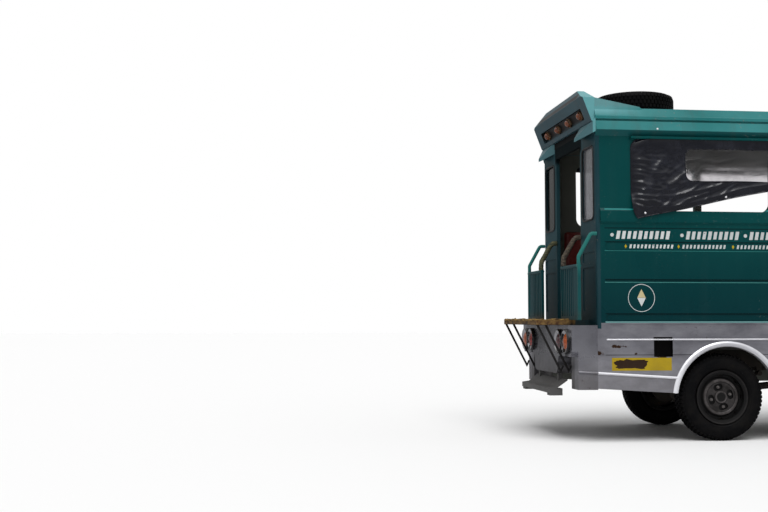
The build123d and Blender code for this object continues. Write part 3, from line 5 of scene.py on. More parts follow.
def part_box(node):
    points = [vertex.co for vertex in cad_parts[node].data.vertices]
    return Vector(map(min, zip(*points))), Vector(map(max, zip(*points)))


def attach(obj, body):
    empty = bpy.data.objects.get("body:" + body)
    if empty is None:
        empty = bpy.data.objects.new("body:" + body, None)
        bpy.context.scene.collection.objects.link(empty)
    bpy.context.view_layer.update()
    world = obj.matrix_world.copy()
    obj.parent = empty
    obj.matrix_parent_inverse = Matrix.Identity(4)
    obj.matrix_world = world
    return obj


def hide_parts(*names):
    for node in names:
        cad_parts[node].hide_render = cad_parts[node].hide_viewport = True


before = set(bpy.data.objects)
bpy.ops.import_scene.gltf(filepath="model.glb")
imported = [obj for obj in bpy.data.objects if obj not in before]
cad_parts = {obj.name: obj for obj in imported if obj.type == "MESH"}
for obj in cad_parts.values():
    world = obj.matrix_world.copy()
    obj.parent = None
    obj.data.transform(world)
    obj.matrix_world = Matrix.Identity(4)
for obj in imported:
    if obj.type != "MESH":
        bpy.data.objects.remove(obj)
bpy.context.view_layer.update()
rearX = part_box("rear_panel")[0].x      # outer face of the rear panel
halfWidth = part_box("rear_panel")[1].y  # outer face of the side walls
wheelMiddle = 0.6225                   # middle of each tread, out from the middle plane
bothSides = ((-1, "Right"), (1, "Left"))
print("frame loaded")


# Mesh helpers: a part is (points, faces), and a piece is made of one or more parts

def loft(rings, closed=True, looped=False):
    count = len(rings[0])
    points = [tuple(point) for ring in rings for point in ring]
    faces = []
    for a in range(len(rings) if looped else len(rings) - 1):
        b = (a + 1) % len(rings)
        for i in range(count if closed else count - 1):
            j = (i + 1) % count
            faces.append((a * count + i, a * count + j, b * count + j, b * count + i))
    if closed and not looped:
        faces.append(tuple(reversed(range(count))))
        faces.append(tuple(range(len(points) - count, len(points))))
    return points, faces


def circle(count):
    return [math.tau * step / count for step in range(count)]


def spun(profile, centre, axis, count, looped=False):
    # profile points are (radius, distance along the axis)
    axis = Vector(axis).normalized()
    across = axis.orthogonal().normalized()
    other = axis.cross(across)
    rings = []
    for angle in circle(count):
        out = across * math.cos(angle) + other * math.sin(angle)
        rings.append([Vector(centre) + out * radius + axis * along for radius, along in profile])
    return loft(rings, closed=looped, looped=True)


def tube(path, radius, sides=6, looped=False, wobble=None):
    # wobble gives the radius at a step of the path and an angle
    path = [Vector(point) for point in path]
    rings = []
    side = None
    for index, point in enumerate(path):
        after = path[(index + 1) % len(path)] if looped or index < len(path) - 1 else point
        before = path[index - 1] if looped or index else point
        run = (after - before).normalized()
        if side is None:
            side = run.orthogonal().normalized()
        side = (side - run * side.dot(run)).normalized()
        up = run.cross(side)
        rings.append([point + (side * math.cos(angle) + up * math.sin(angle))
                      * (wobble(index, angle) if wobble else radius) for angle in circle(sides)])
    return loft(rings, looped=looped)


def slab(outline, place, depth):
    # flat shape: outline of (u, v) set in the frame by place(u, v, w), closed, depth thick
    return loft([[place(u, v, w) for u, v in outline] for w in (0.0, depth)])


def brick(low, high, soft=0.0):
    # box with its long edges cut off by soft
    (x0, y0, z0), (x1, y1, z1) = low, high
    rings = []
    for z, inset in ((z0, soft), (z0 + soft, 0.0), (z1 - soft, 0.0), (z1, soft)):
        a, b, c, d = x0 + inset, x1 - inset, y0 + inset, y1 - inset
        rings.append([(a + soft, c, z), (b - soft, c, z), (b, c + soft, z), (b, d - soft, z), (b - soft, d, z),
                      (a + soft, d, z), (a, d - soft, z), (a, c + soft, z)])
    return loft(rings)


def roundedLoop(low, high, corner, steps=6):
    # points of a rounded rectangle in (u, v), counter-clockwise
    points = []
    for cu, cv, start in ((high[0] - corner, high[1] - corner, 0), (low[0] + corner, high[1] - corner, 90),
                          (low[0] + corner, low[1] + corner, 180), (high[0] - corner, low[1] + corner, 270)):
        for step in range(steps + 1):
            angle = math.radians(start + 90.0 * step / steps)
            points.append((cu + corner * math.cos(angle), cv + corner * math.sin(angle)))
    return points


def waver(x, y, z):
    return noise.noise(Vector((x, y, z)))


def joinParts(parts):
    points, faces = [], []
    for more, rings in parts:
        base = len(points)
        points.extend(more)
        faces.extend(tuple(base + index for index in face) for face in rings)
    return points, faces


def mirrored(part):
    points, faces = part
    return [(x, -y, z) for x, y, z in points], [tuple(reversed(face)) for face in faces]


def rawMesh(name, points, faces, merge, loose=False):
    mesh = bpy.data.meshes.new(name)
    mesh.from_pydata([tuple(point) for point in points], [], faces)
    work = bmesh.new()
    work.from_mesh(mesh)
    if loose:
        bmesh.ops.delete(work, geom=[vertex for vertex in work.verts if not vertex.link_faces], context="VERTS")
    bmesh.ops.remove_doubles(work, verts=work.verts, dist=merge)
    bmesh.ops.recalc_face_normals(work, faces=work.faces)
    work.to_mesh(mesh)
    work.free()
    return mesh


def smoothed(mesh, sharp):
    mesh.shade_smooth()
    mesh.set_sharp_from_angle(angle=math.radians(sharp))
    return mesh


def linked(name, data):
    thing = bpy.data.objects.new(name, data)
    bpy.context.collection.objects.link(thing)
    return thing


def placePiece(name, mesh, paint, body="body", replaced=()):
    mesh.materials.clear()
    mesh.materials.append(paints[paint])
    thing = linked(name, mesh)
    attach(thing, body)
    if replaced:
        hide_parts(*replaced)
    return thing


def makePiece(name, parts, paint, body="body", sharp=40.0, replaced=()):
    mesh = smoothed(rawMesh(name, *joinParts(parts), 2e-5), sharp)
    return placePiece(name, mesh, paint, body, replaced)


# Geometry Nodes trees for what repeats: a ring of shapes and a line of shapes

def addNode(tree, kind, inputs=None, **settings):
    node = tree.nodes.new(kind)
    for key, value in settings.items():
        setattr(node, key, value)
    for key, value in (inputs or {}).items():
        value = getattr(value, "socket", value)
        if isinstance(value, bpy.types.NodeSocket):
            tree.links.new(value, node.inputs[key])
        else:
            node.inputs[key].default_value = value
    return node


def addSockets(tree, way, kinds):
    for label, kind in kinds.items():
        tree.interface.new_socket(label, in_out=way, socket_type="NodeSocket" + kind)
    return tree.nodes.new("NodeGroupInput" if way == "INPUT" else "NodeGroupOutput")


def buildRepeat(name, extra, makePoints):
    tree = bpy.data.node_groups.new(name, "GeometryNodeTree")
    given = addSockets(tree, "INPUT", {"Geometry": "Geometry", "Shape": "Object", "Count": "Int", **extra,
                                       "Turn": "Vector", "Vary": "Float"}).outputs
    end = addSockets(tree, "OUTPUT", {"Geometry": "Geometry"})
    points, rotation, finish = makePoints(tree, given)
    shape = addNode(tree, "GeometryNodeObjectInfo", {"Object": given["Shape"]}).outputs["Geometry"]
    least, most = (addNode(tree, "ShaderNodeMath", {0: 1.0, 1: given["Vary"]}, operation=way).outputs[0]
                   for way in ("SUBTRACT", "ADD"))
    size = addNode(tree, "FunctionNodeRandomValue", {"Min": least, "Max": most, "Seed": 7}, data_type="FLOAT")
    scale = next(socket for socket in size.outputs if socket.enabled)
    instances = addNode(tree, "GeometryNodeInstanceOnPoints", {"Points": points, "Instance": shape,
                                                               "Rotation": rotation, "Scale": scale})
    real = addNode(tree, "GeometryNodeRealizeInstances", {"Geometry": instances.outputs[0]}).outputs[0]
    tree.links.new(finish(real), end.inputs[0])
    return tree


def ringPoints(tree, given):
    ring = addNode(tree, "GeometryNodeMeshCircle", {"Vertices": given["Count"], "Radius": given["Radius"]})
    spin = addNode(tree, "ShaderNodeCombineXYZ", {"Z": given["Phase"]}).outputs[0]
    turned = addNode(tree, "GeometryNodeTransform", {"Geometry": ring.outputs[0], "Rotation": spin})
    place = tree.nodes.new("GeometryNodeInputPosition").outputs[0]
    outward = addNode(tree, "FunctionNodeAlignRotationToVector", {"Vector": place}, axis="X", pivot_axis="Z")
    return turned.outputs[0], outward.outputs[0], lambda geometry: addNode(tree, "GeometryNodeTransform", {
        "Geometry": geometry, "Translation": given["Centre"], "Rotation": given["Turn"]}).outputs[0]


def linePoints(tree, given):
    line = addNode(tree, "GeometryNodeMeshLine", {0: given["Count"], 2: given["Start"], 3: given["End"]},
                   mode="END_POINTS")
    turn = addNode(tree, "FunctionNodeEulerToRotation", {0: given["Turn"]}).outputs[0]
    return line.outputs[0], turn, lambda geometry: geometry


ringRepeat = buildRepeat("ringRepeat", {"Radius": "Float", "Phase": "Float", "Centre": "Vector"}, ringPoints)
lineRepeat = buildRepeat("lineRepeat", {"Start": "Vector", "End": "Vector"}, linePoints)


def repeatPart(tree, shape, **settings):
    # one run of the tree, baked and given back as a part
    source = linked("repeatShape", smoothed(rawMesh("repeatShape", *shape, 2e-5), 30.0))
    holder = linked("repeatHolder", bpy.data.meshes.new("repeatHolder"))
    modifier = holder.modifiers.new("repeat", "NODES")
    modifier.node_group = tree
    values = {"Shape": source, "Vary": 0.0, **settings}
    for item in tree.interface.items_tree:
        if item.in_out == "INPUT" and item.name in values:
            modifier[item.identifier] = values[item.name]
    bpy.context.view_layer.update()
    mesh = bpy.data.meshes.new_from_object(holder.evaluated_get(bpy.context.evaluated_depsgraph_get()))
    part = [tuple(vertex.co) for vertex in mesh.vertices], [tuple(face.vertices) for face in mesh.polygons]
    for thing in (source, holder):
        bpy.data.objects.remove(thing)
    bpy.data.meshes.remove(mesh)
    return part


print("helpers ready")


# Shader helpers

class Wire:
    # a shader output that takes part in plain sums

    def __init__(self, tree, socket):
        self.tree, self.socket = tree, socket

    def node(self, kind, inputs, output=0, **settings):
        return Wire(self.tree, addNode(self.tree, kind, inputs, **settings).outputs[output])

    def calc(self, operation, other=0.0):
        return self.node("ShaderNodeMath", {0: self, 1: other}, operation=operation)

    def __add__(self, other):
        return self.calc("ADD", other)

    def __sub__(self, other):
        return self.calc("SUBTRACT", other)

    def __rsub__(self, other):
        return self.node("ShaderNodeMath", {0: other, 1: self}, operation="SUBTRACT")

    def __mul__(self, other):
        return self.calc("MULTIPLY", other)

    def __abs__(self):
        return self.calc("ABSOLUTE")

    def held(self):
        # kept between 0 and 1
        self.socket.node.use_clamp = True
        return self

    def ramp(self, low, high, toLow=0.0, toHigh=1.0):
        return self.node("ShaderNodeMapRange", {"Value": self, "From Min": low, "From Max": high, "To Min": toLow,
                                                "To Max": toHigh}, "Result")

    def vector(self, operation, other=(0.0, 0.0, 0.0), output=0):
        return self.node("ShaderNodeVectorMath", {0: self, 1: other}, output, operation=operation)

    def split(self):
        parts = addNode(self.tree, "ShaderNodeSeparateXYZ", {0: self}).outputs
        return [Wire(self.tree, part) for part in parts]

    def cloud(self, scale, detail=3.0, rough=0.5, stretch=None):
        place = self.vector("MULTIPLY", stretch) if stretch else self
        return self.node("ShaderNodeTexNoise", {"Vector": place, "Scale": scale, "Detail": detail,
                                                "Roughness": rough}, "Fac")

    def mix(self, a, b):
        # colour a where the wire is 0, colour b where it is 1
        a, b = ((*value, 1.0) if isinstance(value, tuple) else value for value in (a, b))
        return self.node("ShaderNodeMix", {0: self, 6: a, 7: b}, 2, data_type="RGBA")

    def blend(self, a, b):
        return self.node("ShaderNodeMix", {0: self, 2: a, 3: b}, data_type="FLOAT")


def distance(a, b):
    return (a * a + b * b).calc("SQRT")


def buildWeather():
    # fading, rain streaks, road splash, small chips and relief, all from the object's own place
    group = bpy.data.node_groups.new("roadWeather", "ShaderNodeTree")
    given = addSockets(group, "INPUT", {"Vector": "Vector", "Size": "Float", "Splash Top": "Float",
                                        "Splash Bottom": "Float"}).outputs
    vector = Wire(group, given["Vector"])
    place = vector.node("ShaderNodeVectorMath", {0: vector, "Scale": given["Size"]}, operation="SCALE")
    low = vector.split()[2].ramp(given["Splash Top"], given["Splash Bottom"])
    spots = place.cloud(9.0, 6.0, 0.65).ramp(0.3, 0.7)
    results = {
        "Fade": place.cloud(1.6, 4.0).ramp(0.36, 0.66),
        "Streaks": place.cloud(1.0, 4.0, 0.6, (11.0, 11.0, 0.9)).ramp(0.52, 0.78),
        "Splash": (low * (spots + low)).held(),
        "Chips": place.cloud(46.0, 5.0, 0.6).ramp(0.63, 0.67) * place.cloud(3.1).ramp(0.5, 0.64),
        "Relief": place.cloud(2.6, 2.0) + place.cloud(190.0, 2.0) * 0.03,
    }
    ends = addSockets(group, "OUTPUT", dict.fromkeys(results, "Float")).inputs
    for label, value in results.items():
        group.links.new(value.socket, ends[label])
    return group


weather = buildWeather()
roadDirt = (0.06, 0.05, 0.04)


class Finish:
    # one material, with its place on the object and, where it is asked for, what the road did to it

    def __init__(self, name, **sockets):
        self.material = bpy.data.materials.new(name)
        self.material.use_nodes = True
        self.tree = self.material.node_tree
        self.shader = self.tree.nodes["Principled BSDF"]
        for key, value in sockets.items():
            self.shader.inputs[key.replace("_", " ")].default_value = value
        self.place = Wire(self.tree, addNode(self.tree, "ShaderNodeTexCoord").outputs["Object"])
        self.x, self.y, self.z = self.place.split()
        self.out = abs(self.y)

    def weathered(self, size=1.0, top=1.0, bottom=0.4):
        node = addNode(self.tree, "ShaderNodeGroup", {"Vector": self.place, "Size": size, "Splash Top": top,
                                                      "Splash Bottom": bottom}, node_tree=weather)
        self.fade, self.streaks, self.splash, self.chips, self.relief = (Wire(self.tree, end) for end in node.outputs)
        return self

    def dirty(self, colour, chip, streaks=0.0, splash=0.0, chips=0.0):
        for mask, share, tone in ((self.streaks, streaks, roadDirt), (self.splash, splash, roadDirt),
                                  (self.chips, chips, chip)):
            if share:
                colour = (mask * share).mix(colour, tone)
        return colour

    def done(self, colour, rough, metal=None, relief=None, strength=0.0, depth=0.0):
        for key, value in (("Base Color", colour), ("Roughness", rough), ("Metallic", metal)):
            if value is not None:
                self.tree.links.new(value.socket, self.shader.inputs[key])
        if relief is not None:
            bump = addNode(self.tree, "ShaderNodeBump", {"Height": relief, "Strength": strength, "Distance": depth})
            self.tree.links.new(bump.outputs["Normal"], self.shader.inputs["Normal"])
        return self.material


# Plain paints and metals

paintLooks = {
    # base, faded, chip colour, roughness, fade, streaks, splash, chips, metallic
    "bodyTeal": ((0.0, 0.046, 0.047), (0.001, 0.066, 0.064), (0.12, 0.15, 0.14), 0.3, 0.6, 0.25, 0.3, 0.4, 0.0),
    "pillarGrey": ((0.006, 0.034, 0.044), (0.02, 0.056, 0.068), (0.14, 0.12, 0.1), 0.42, 0.8, 0.6, 0.3, 0.9, 0.0),
    "insideCream": ((0.115, 0.125, 0.11), (0.16, 0.165, 0.145), (0.06, 0.05, 0.04), 0.5, 0.5, 0.3, 0.3, 0.4, 0.0),
    "frameBlack": ((0.01, 0.01, 0.011), (0.024, 0.022, 0.02), (0.08, 0.04, 0.02), 0.5, 0.6, 0.3, 0.5, 0.9, 0.0),
    "nutSteel": ((0.16, 0.15, 0.15), (0.1, 0.09, 0.085), (0.1, 0.05, 0.02), 0.45, 0.5, 0.2, 0.3, 0.3, 0.4),
    "oilySteel": ((0.03, 0.028, 0.027), (0.06, 0.05, 0.04), (0.1, 0.05, 0.02), 0.55, 0.7, 0.4, 0.6, 1.0, 0.4),
    "galvanised": ((0.17, 0.172, 0.175), (0.25, 0.25, 0.25), (0.1, 0.06, 0.035), 0.38, 0.8, 0.5, 0.35, 0.8, 0.6),
    "floorSheet": ((0.1, 0.1, 0.095), (0.17, 0.165, 0.15), (0.3, 0.29, 0.27), 0.5, 0.8, 0.2, 0.4, 1.0, 0.2),
    "chromeWorn": ((0.5, 0.5, 0.52), (0.62, 0.62, 0.63), (0.1, 0.06, 0.04), 0.12, 0.5, 0.4, 0.4, 0.4, 1.0),
    "markWhite": ((0.6, 0.62, 0.62), (0.48, 0.51, 0.51), (0.02, 0.06, 0.06), 0.38, 0.8, 0.5, 0.1, 0.9, 0.0),
    "markYellow": ((0.45, 0.31, 0.007), (0.5, 0.37, 0.02), (0.1, 0.05, 0.02), 0.42, 0.7, 0.3, 0.3, 0.5, 0.0),
    "markCream": ((0.5, 0.4, 0.15), (0.56, 0.54, 0.48), (0.02, 0.06, 0.06), 0.4, 0.9, 0.4, 0.1, 0.8, 0.0),
    "mirrorSilver": ((0.85, 0.86, 0.88), (0.78, 0.79, 0.8), (0.3, 0.28, 0.25), 0.04, 0.3, 0.2, 0.0, 0.1, 1.0),
    "scrapedBrown": ((0.022, 0.011, 0.006), (0.05, 0.024, 0.01), (0.02, 0.01, 0.006), 0.75, 0.9, 0.2, 0.2, 1.0,
                     0.0),
    "cleanWhite": ((0.8, 0.8, 0.82), (0.7, 0.7, 0.72), (0.3, 0.28, 0.25), 0.25, 0.5, 0.2, 0.0, 0.2, 0.0),
}
# the lintel's painted shade: half width, lowest height, colour and added roughness
lintelLook = {"across": 0.397, "height": 2.3, "shadedBlack": (0.0015, 0.0055, 0.007), "dull": 0.55}


def plainPaint(name):
    base, faded, chip, rough, fade, streaks, splash, chips, metallic = paintLooks[name]
    look = Finish(name, Metallic=metallic, Specular_IOR_Level=0.5 if metallic else 0.1).weathered()
    colour = look.dirty((look.fade * fade).mix(base, faded), chip, streaks * 0.5, splash, chips)
    dull = look.splash * 0.35 + look.fade * 0.1
    if name == "pillarGrey":
        # painted shade: the lintel over the rear doorway is made near black
        across, height = lintelLook["across"], lintelLook["height"]
        shaded = look.out.ramp(across, across - 0.02) * look.z.ramp(height, height + 0.03)
        colour = shaded.mix(colour, lintelLook["shadedBlack"])
        dull = dull + shaded * lintelLook["dull"]
    return look.done(colour, (dull + rough).held(), None, look.relief, 0.3, 0.01)


paints = {name: plainPaint(name) for name in paintLooks}
print("paints made")


# Side walls: teal above, polished steel below, cream inside, painted shade in the folds and painted highlights on the
# edges along the pressings

sideLook = {
    "splitHeight": 0.922,   # where teal meets the bare skirt
    "tealLow": (0.0, 0.024, 0.03), "tealStreak": (0.03, 0.07, 0.068),
    # the bead colour is a painted highlight on the standing lips and beads
    "steel": (0.375, 0.375, 0.415), "steelDull": (0.215, 0.215, 0.245), "bead": (0.8, 0.8, 0.84),
    # the recess colour is painted shade in the fuel filler's recess
    "rust": (0.03, 0.014, 0.007), "recess": (0.0035, 0.003, 0.003),
    "filler": (0.525, 0.736, 0.076),  # along, height, half size
    "inside": 0.03,                   # depth of the cream inside
    "darkens": (1.75, 1.0),           # heights over which the teal darkens downwards
    "post": 0.062,                    # width of the rear corner post, which carries no lines
    "standing": 0.001,                # where the lips and beads rise from the face
    # height, half width, colour: the dark lines are painted shade and grime in the grooves, the light ones painted
    # highlights on the lips
    "lines": ((1.659, 0.006, (0.0, 0.006, 0.008)), (1.552, 0.005, (0.0, 0.006, 0.008)),
              (1.483, 0.0035, (0.04, 0.23, 0.215)), (1.258, 0.006, (0.0, 0.006, 0.008)),
              (1.2375, 0.004, (0.09, 0.33, 0.31)), (0.993, 0.006, (0.0, 0.006, 0.008)),
              (0.929, 0.006, (0.22, 0.44, 0.44)), (1.806, 0.007, (0.02, 0.26, 0.245)),
              (0.675, 0.004, (0.012, 0.011, 0.012))),
    # along, height, size
    "rustSpots": ((0.0, 0.69, 0.042), (0.13, 0.742, 0.026), (0.165, 0.738, 0.022), (0.205, 0.742, 0.014),
                  (0.3, 0.684, 0.012), (0.48, 0.668, 0.02), (0.52, 0.655, 0.024)),
}


def spotMask(look, spots):
    # soft marks at given places on the wall, broken up by noise
    ragged = (look.place.cloud(30.0, 5.0, 0.7) - 0.5) * 0.1
    total = None
    for along, height, size in spots:
        away = distance(look.x - (rearX + along), (look.z - height) * 2.0)
        near = (away + ragged).ramp(size, size * 0.7)
        total = near if total is None else total.calc("MAXIMUM", near)
    return total


def sideWallPaint():
    look = Finish("sideWallPaint", Specular_IOR_Level=0.12).weathered(1.0, 0.95, 0.35)
    base, faded, chip, rough, *_ = paintLooks["bodyTeal"]
    split, standing, post = sideLook["splitHeight"], halfWidth + sideLook["standing"], rearX + sideLook["post"]
    teal = look.z.ramp(*sideLook["darkens"], 0.0, 0.8).mix((look.fade * 0.5).mix(base, faded), sideLook["tealLow"])
    teal = look.dirty((look.streaks * 0.1).mix(teal, sideLook["tealStreak"]), chip, chips=0.3)
    grain = look.place.cloud(4.0, 4.0, 0.6, (3.0, 3.0, 60.0))
    cloudy = look.place.cloud(3.0, 5.0, 0.6, (1.0, 1.0, 2.2)).ramp(0.36, 0.66)
    steel = look.dirty(cloudy.mix(sideLook["steel"], sideLook["steelDull"]), sideLook["rust"], splash=0.4, chips=0.5)
    # painted highlight: the standing lips and beads below the split are made near white
    steel = look.out.ramp(standing, standing + 0.003).mix(steel, sideLook["bead"])
    low = look.z.ramp(split + 0.001, split - 0.001)
    colour = low.mix(teal, steel)
    # the lines start past the corner post, and below the split the standing lips and beads cover them
    covered = low * look.out.ramp(standing, standing + 0.001)
    shown = look.x.ramp(post, post + 0.004) * (1.0 - covered) * 0.75
    # painted shade and painted highlights along the pressings
    for height, half, line in sideLook["lines"]:
        colour = (abs(look.z - height).ramp(half, half * 0.45) * shown).mix(colour, line)
    rusted = spotMask(look, sideLook["rustSpots"])
    colour = rusted.mix(colour, sideLook["rust"])
    # painted shade fills the fuel filler's recess
    along, height, half = sideLook["filler"]
    square = abs(look.x - (rearX + along)).calc("MAXIMUM", abs(look.z - height)).ramp(half + 0.0012, half + 0.0004)
    filler = square * look.out.ramp(halfWidth - 0.0004, halfWidth - 0.002) * look.y.ramp(0.0, -0.01)
    colour = filler.mix(colour, sideLook["recess"])
    inner = look.out.ramp(halfWidth - sideLook["inside"], halfWidth - sideLook["inside"] - 0.003)
    colour = inner.mix(colour, look.fade.mix(*paintLooks["insideCream"][:2]))
    bare = low * (1.0 - inner)
    metal = (bare * (0.8 - look.splash * 0.5)).held() * (1.0 - rusted)
    steelRough = grain * 0.16 + (look.splash * 0.25 + 0.22)
    return look.done(colour, bare.blend(look.fade * 0.08 + (rough - 0.04), steelRough), metal,
                     look.relief + grain * 0.02, 0.5, 0.016)


# Roof, guards and header

roofLook = {
    "base": (0.012, 0.15, 0.15), "faded": (0.045, 0.235, 0.24), "chip": (0.2, 0.2, 0.18),
    # kickColour and topColour are painted light, under is painted shade below the eave
    "kick": 0.42, "kickColour": (0.115, 0.33, 0.35), "cheek": (2.53, 2.58), "under": (0.001, 0.058, 0.062),
    "topColour": (0.12, 0.25, 0.26), "shelf": 2.602, "eave": 2.424,
    # the ceiling's height in the middle, how it bows down to the sides, its side, rear and front ends
    "ceiling": 2.645, "bow": 0.1096, "ceilingHalf": halfWidth - 0.035, "ceilingRear": rearX + 0.028, "cabEnd": 1.425,
    # colour, half width and top of the end face, which is in painted shade
    "end": (0.0005, 0.0025, 0.003), "endHalf": (0.7, 0.66), "endTop": (2.52, 2.5),
}
guardLook = {"base": (0.001, 0.036, 0.044), "faded": (0.003, 0.062, 0.068), "chip": (0.1, 0.075, 0.05),
             "paleUpper": (0.02, 0.15, 0.135), "rust": (0.075, 0.04, 0.015), "handrail": (0.728, 0.736),
             "paleUpperFrom": (1.28, 1.42), "rustFrom": (1.03, 0.955)}
headerLook = {
    "base": (0.022, 0.056, 0.072), "faded": (0.052, 0.098, 0.115), "chip": (0.16, 0.14, 0.11),
    "origin": (-2.233, 0.0, 2.5), "up": (-0.3593, 0.0, 0.9332), "out": (-0.9332, 0.0, -0.3593),
    # the sunk panel's colour, half width, depth and the heights of its darker top give painted shade; the visors'
    # colour is painted light
    "recess": (0.009, 0.009, 0.009), "recessHalf": 0.602, "recessDepth": 0.035, "shaded": (2.543, 2.57),
    "visor": (0.062, 0.14, 0.158), "visorTop": (2.499, 2.497),
    # the hips start at this height and lean in by this slope from this edge
    "hip": 2.685, "hipSlope": 2.62, "edge": (0.742, 0.7435),
}


def roofPaint():
    # teal with painted light on top and along the cheeks of the kicked-up rear end, painted shade under the eave,
    # cream under the ceiling
    look = Finish("roofPaint", Specular_IOR_Level=0.2).weathered()
    eave, shelf, under, half, rear, front = (roofLook[key] for key in (
        "eave", "shelf", "ceiling", "ceilingHalf", "ceilingRear", "cabEnd"))
    # painted light on the kick's upper cheeks and on the roof's top, painted shade under the eave
    cheek = look.x.ramp(rearX + roofLook["kick"], rearX + 0.1) * look.z.ramp(*roofLook["cheek"])
    colour = (cheek * 0.85).mix((look.fade * 0.6).mix(roofLook["base"], roofLook["faded"]), roofLook["kickColour"])
    colour = look.z.ramp(eave + 0.002, eave, 0.0, 0.9).mix(colour, roofLook["under"])
    colour = look.z.ramp(shelf, shelf + 0.03, 0.0, 0.6).mix(colour, roofLook["topColour"])
    colour = look.dirty(colour, roofLook["chip"], streaks=0.25, chips=0.6)
    bow = look.z + look.out * look.out * roofLook["bow"]
    ceiling = look.out.ramp(half + 0.001, half - 0.001) * bow.ramp(under + 0.001, under - 0.001)
    ceiling = ceiling * look.x.ramp(rear, rear + 0.002) * look.x.ramp(front + 0.001, front - 0.001)
    colour = ceiling.mix(colour, paintLooks["insideCream"][0])
    # painted shade makes the end face between the visors near black
    end = look.x.ramp(rearX + 0.003, rearX + 0.001) * look.out.ramp(*roofLook["endHalf"])
    end = end * look.z.ramp(*roofLook["endTop"])
    colour = end.mix(colour, roofLook["end"])
    rough = look.fade * 0.1 + end * 0.55 + 0.28
    return look.done(colour, rough.held(), None, look.relief, 0.4, 0.014)


def guardPaint():
    # dark teal bars; the outer handrails and posts turn paler upwards
    look = Finish("guardPaint", Specular_IOR_Level=0.12).weathered(1.4)
    colour = (look.fade * 0.6).mix(guardLook["base"], guardLook["faded"])
    # the outer handrails and posts turn paler above a set height
    paleUpper = look.out.ramp(*guardLook["handrail"]) * look.z.ramp(*guardLook["paleUpperFrom"], 0.22, 0.9)
    colour = look.dirty(paleUpper.mix(colour, guardLook["paleUpper"]), guardLook["chip"], chips=0.9)
    colour = (look.z.ramp(*guardLook["rustFrom"], 0.0, 0.7) * look.fade).mix(colour, guardLook["rust"])
    return look.done(colour, look.fade * 0.15 + 0.36, None, look.relief, 0.3, 0.008)


def headerPaint():
    # worn grey-green; painted shade darkens the sunk lamp panel towards its top, and painted light makes the visors
    # below paler
    look = Finish("headerPaint", Specular_IOR_Level=0.15).weathered()
    colour = (look.fade * 0.8).mix(headerLook["base"], headerLook["faded"])
    colour = look.dirty(colour, headerLook["chip"], streaks=0.3, chips=0.9)
    depth = look.place.vector("SUBTRACT", headerLook["origin"]).vector("DOT_PRODUCT", headerLook["out"], "Value")
    half, deepest = headerLook["recessHalf"], -headerLook["recessDepth"]
    sunk = depth.ramp(-0.0015, -0.0045) * depth.ramp(deepest - 0.001, deepest + 0.001)
    sunk = sunk * look.out.ramp(half + 0.001, half - 0.001) * look.z.ramp(*headerLook["shaded"])
    # painted shade in the sunk lamp panel
    colour = sunk.mix(colour, headerLook["recess"])
    # painted light on the visors
    colour = look.z.ramp(*headerLook["visorTop"]).mix(colour, headerLook["visor"])
    # the hips above and the ends take the roof's kick colour, with its painted light
    over = (look.z - headerLook["hip"]).calc("MAXIMUM", 0.0) * headerLook["hipSlope"]
    colour = (look.out + over).ramp(*headerLook["edge"]).mix(colour, roofLook["kickColour"])
    return look.done(colour, look.fade * 0.1 + 0.4, None, look.relief, 0.4, 0.012)


# Other materials

deckLook = {"rust": (0.06, 0.026, 0.009), "bright": (0.21, 0.125, 0.04), "trodden": (0.016, 0.014, 0.012),
            "under": 0.908, "underColour": (0.01, 0.009, 0.009), "painted": (0.545, 0.556), "paintedX": rearX - 0.125}
sheetEdge = (0.655, 0.665)  # where the rear sheets turn from the painted shade in their middle to bright
wheelLook = {
    # rimDark is black paint and painted shade in the barrel; dished sets the painted shade of the pockets;
    # flangeBright is a painted highlight
    "rimDark": (0.007, 0.0068, 0.007), "disc": (0.095, 0.086, 0.086), "discDull": (0.026, 0.023, 0.022),
    "rust": (0.045, 0.022, 0.01), "ring": 0.142, "grooves": (0.051, 0.1175), "dished": 0.45,
    "hubHole": 0.034, "spokeLevel": 0.0485, "flange": (0.197, 0.2), "flangeBright": 0.18,
}
lampLook = {"across": (0.435, 0.633), "height": 0.775, "rim": 0.087, "dish": (0.62, 0.62, 0.64),
            "stain": (0.1, 0.085, 0.07), "edge": (0.01, 0.01, 0.011)}
paneLook = {"near": ((0.27, 0.27, 0.29), (0.19, 0.19, 0.21)), "screen": (0.16, 0.18, 0.18),
            "far": ((0.006, 0.014, 0.014), (0.022, 0.028, 0.028))}
rubberLook = {"clean": (0.004, 0.004, 0.0046), "dusty": (0.016, 0.014, 0.012)}


def steelPaint(name, shade):
    # shade is a painted shade that darkens the middle of the sheet and leaves its edges bright
    look = Finish(name).weathered(1.3, 0.75, 0.4)
    edge = look.out.ramp(*sheetEdge)
    bright, dull = (edge.mix(tuple(shade * value for value in sideLook[key]), sideLook[key])
                    for key in ("steel", "steelDull"))
    colour = look.dirty(look.fade.mix(bright, dull), sideLook["rust"], splash=0.55, chips=0.8)
    return look.done(colour, look.splash * 0.3 + 0.22, 0.85 - look.splash * 0.5, look.relief, 0.5, 0.02)


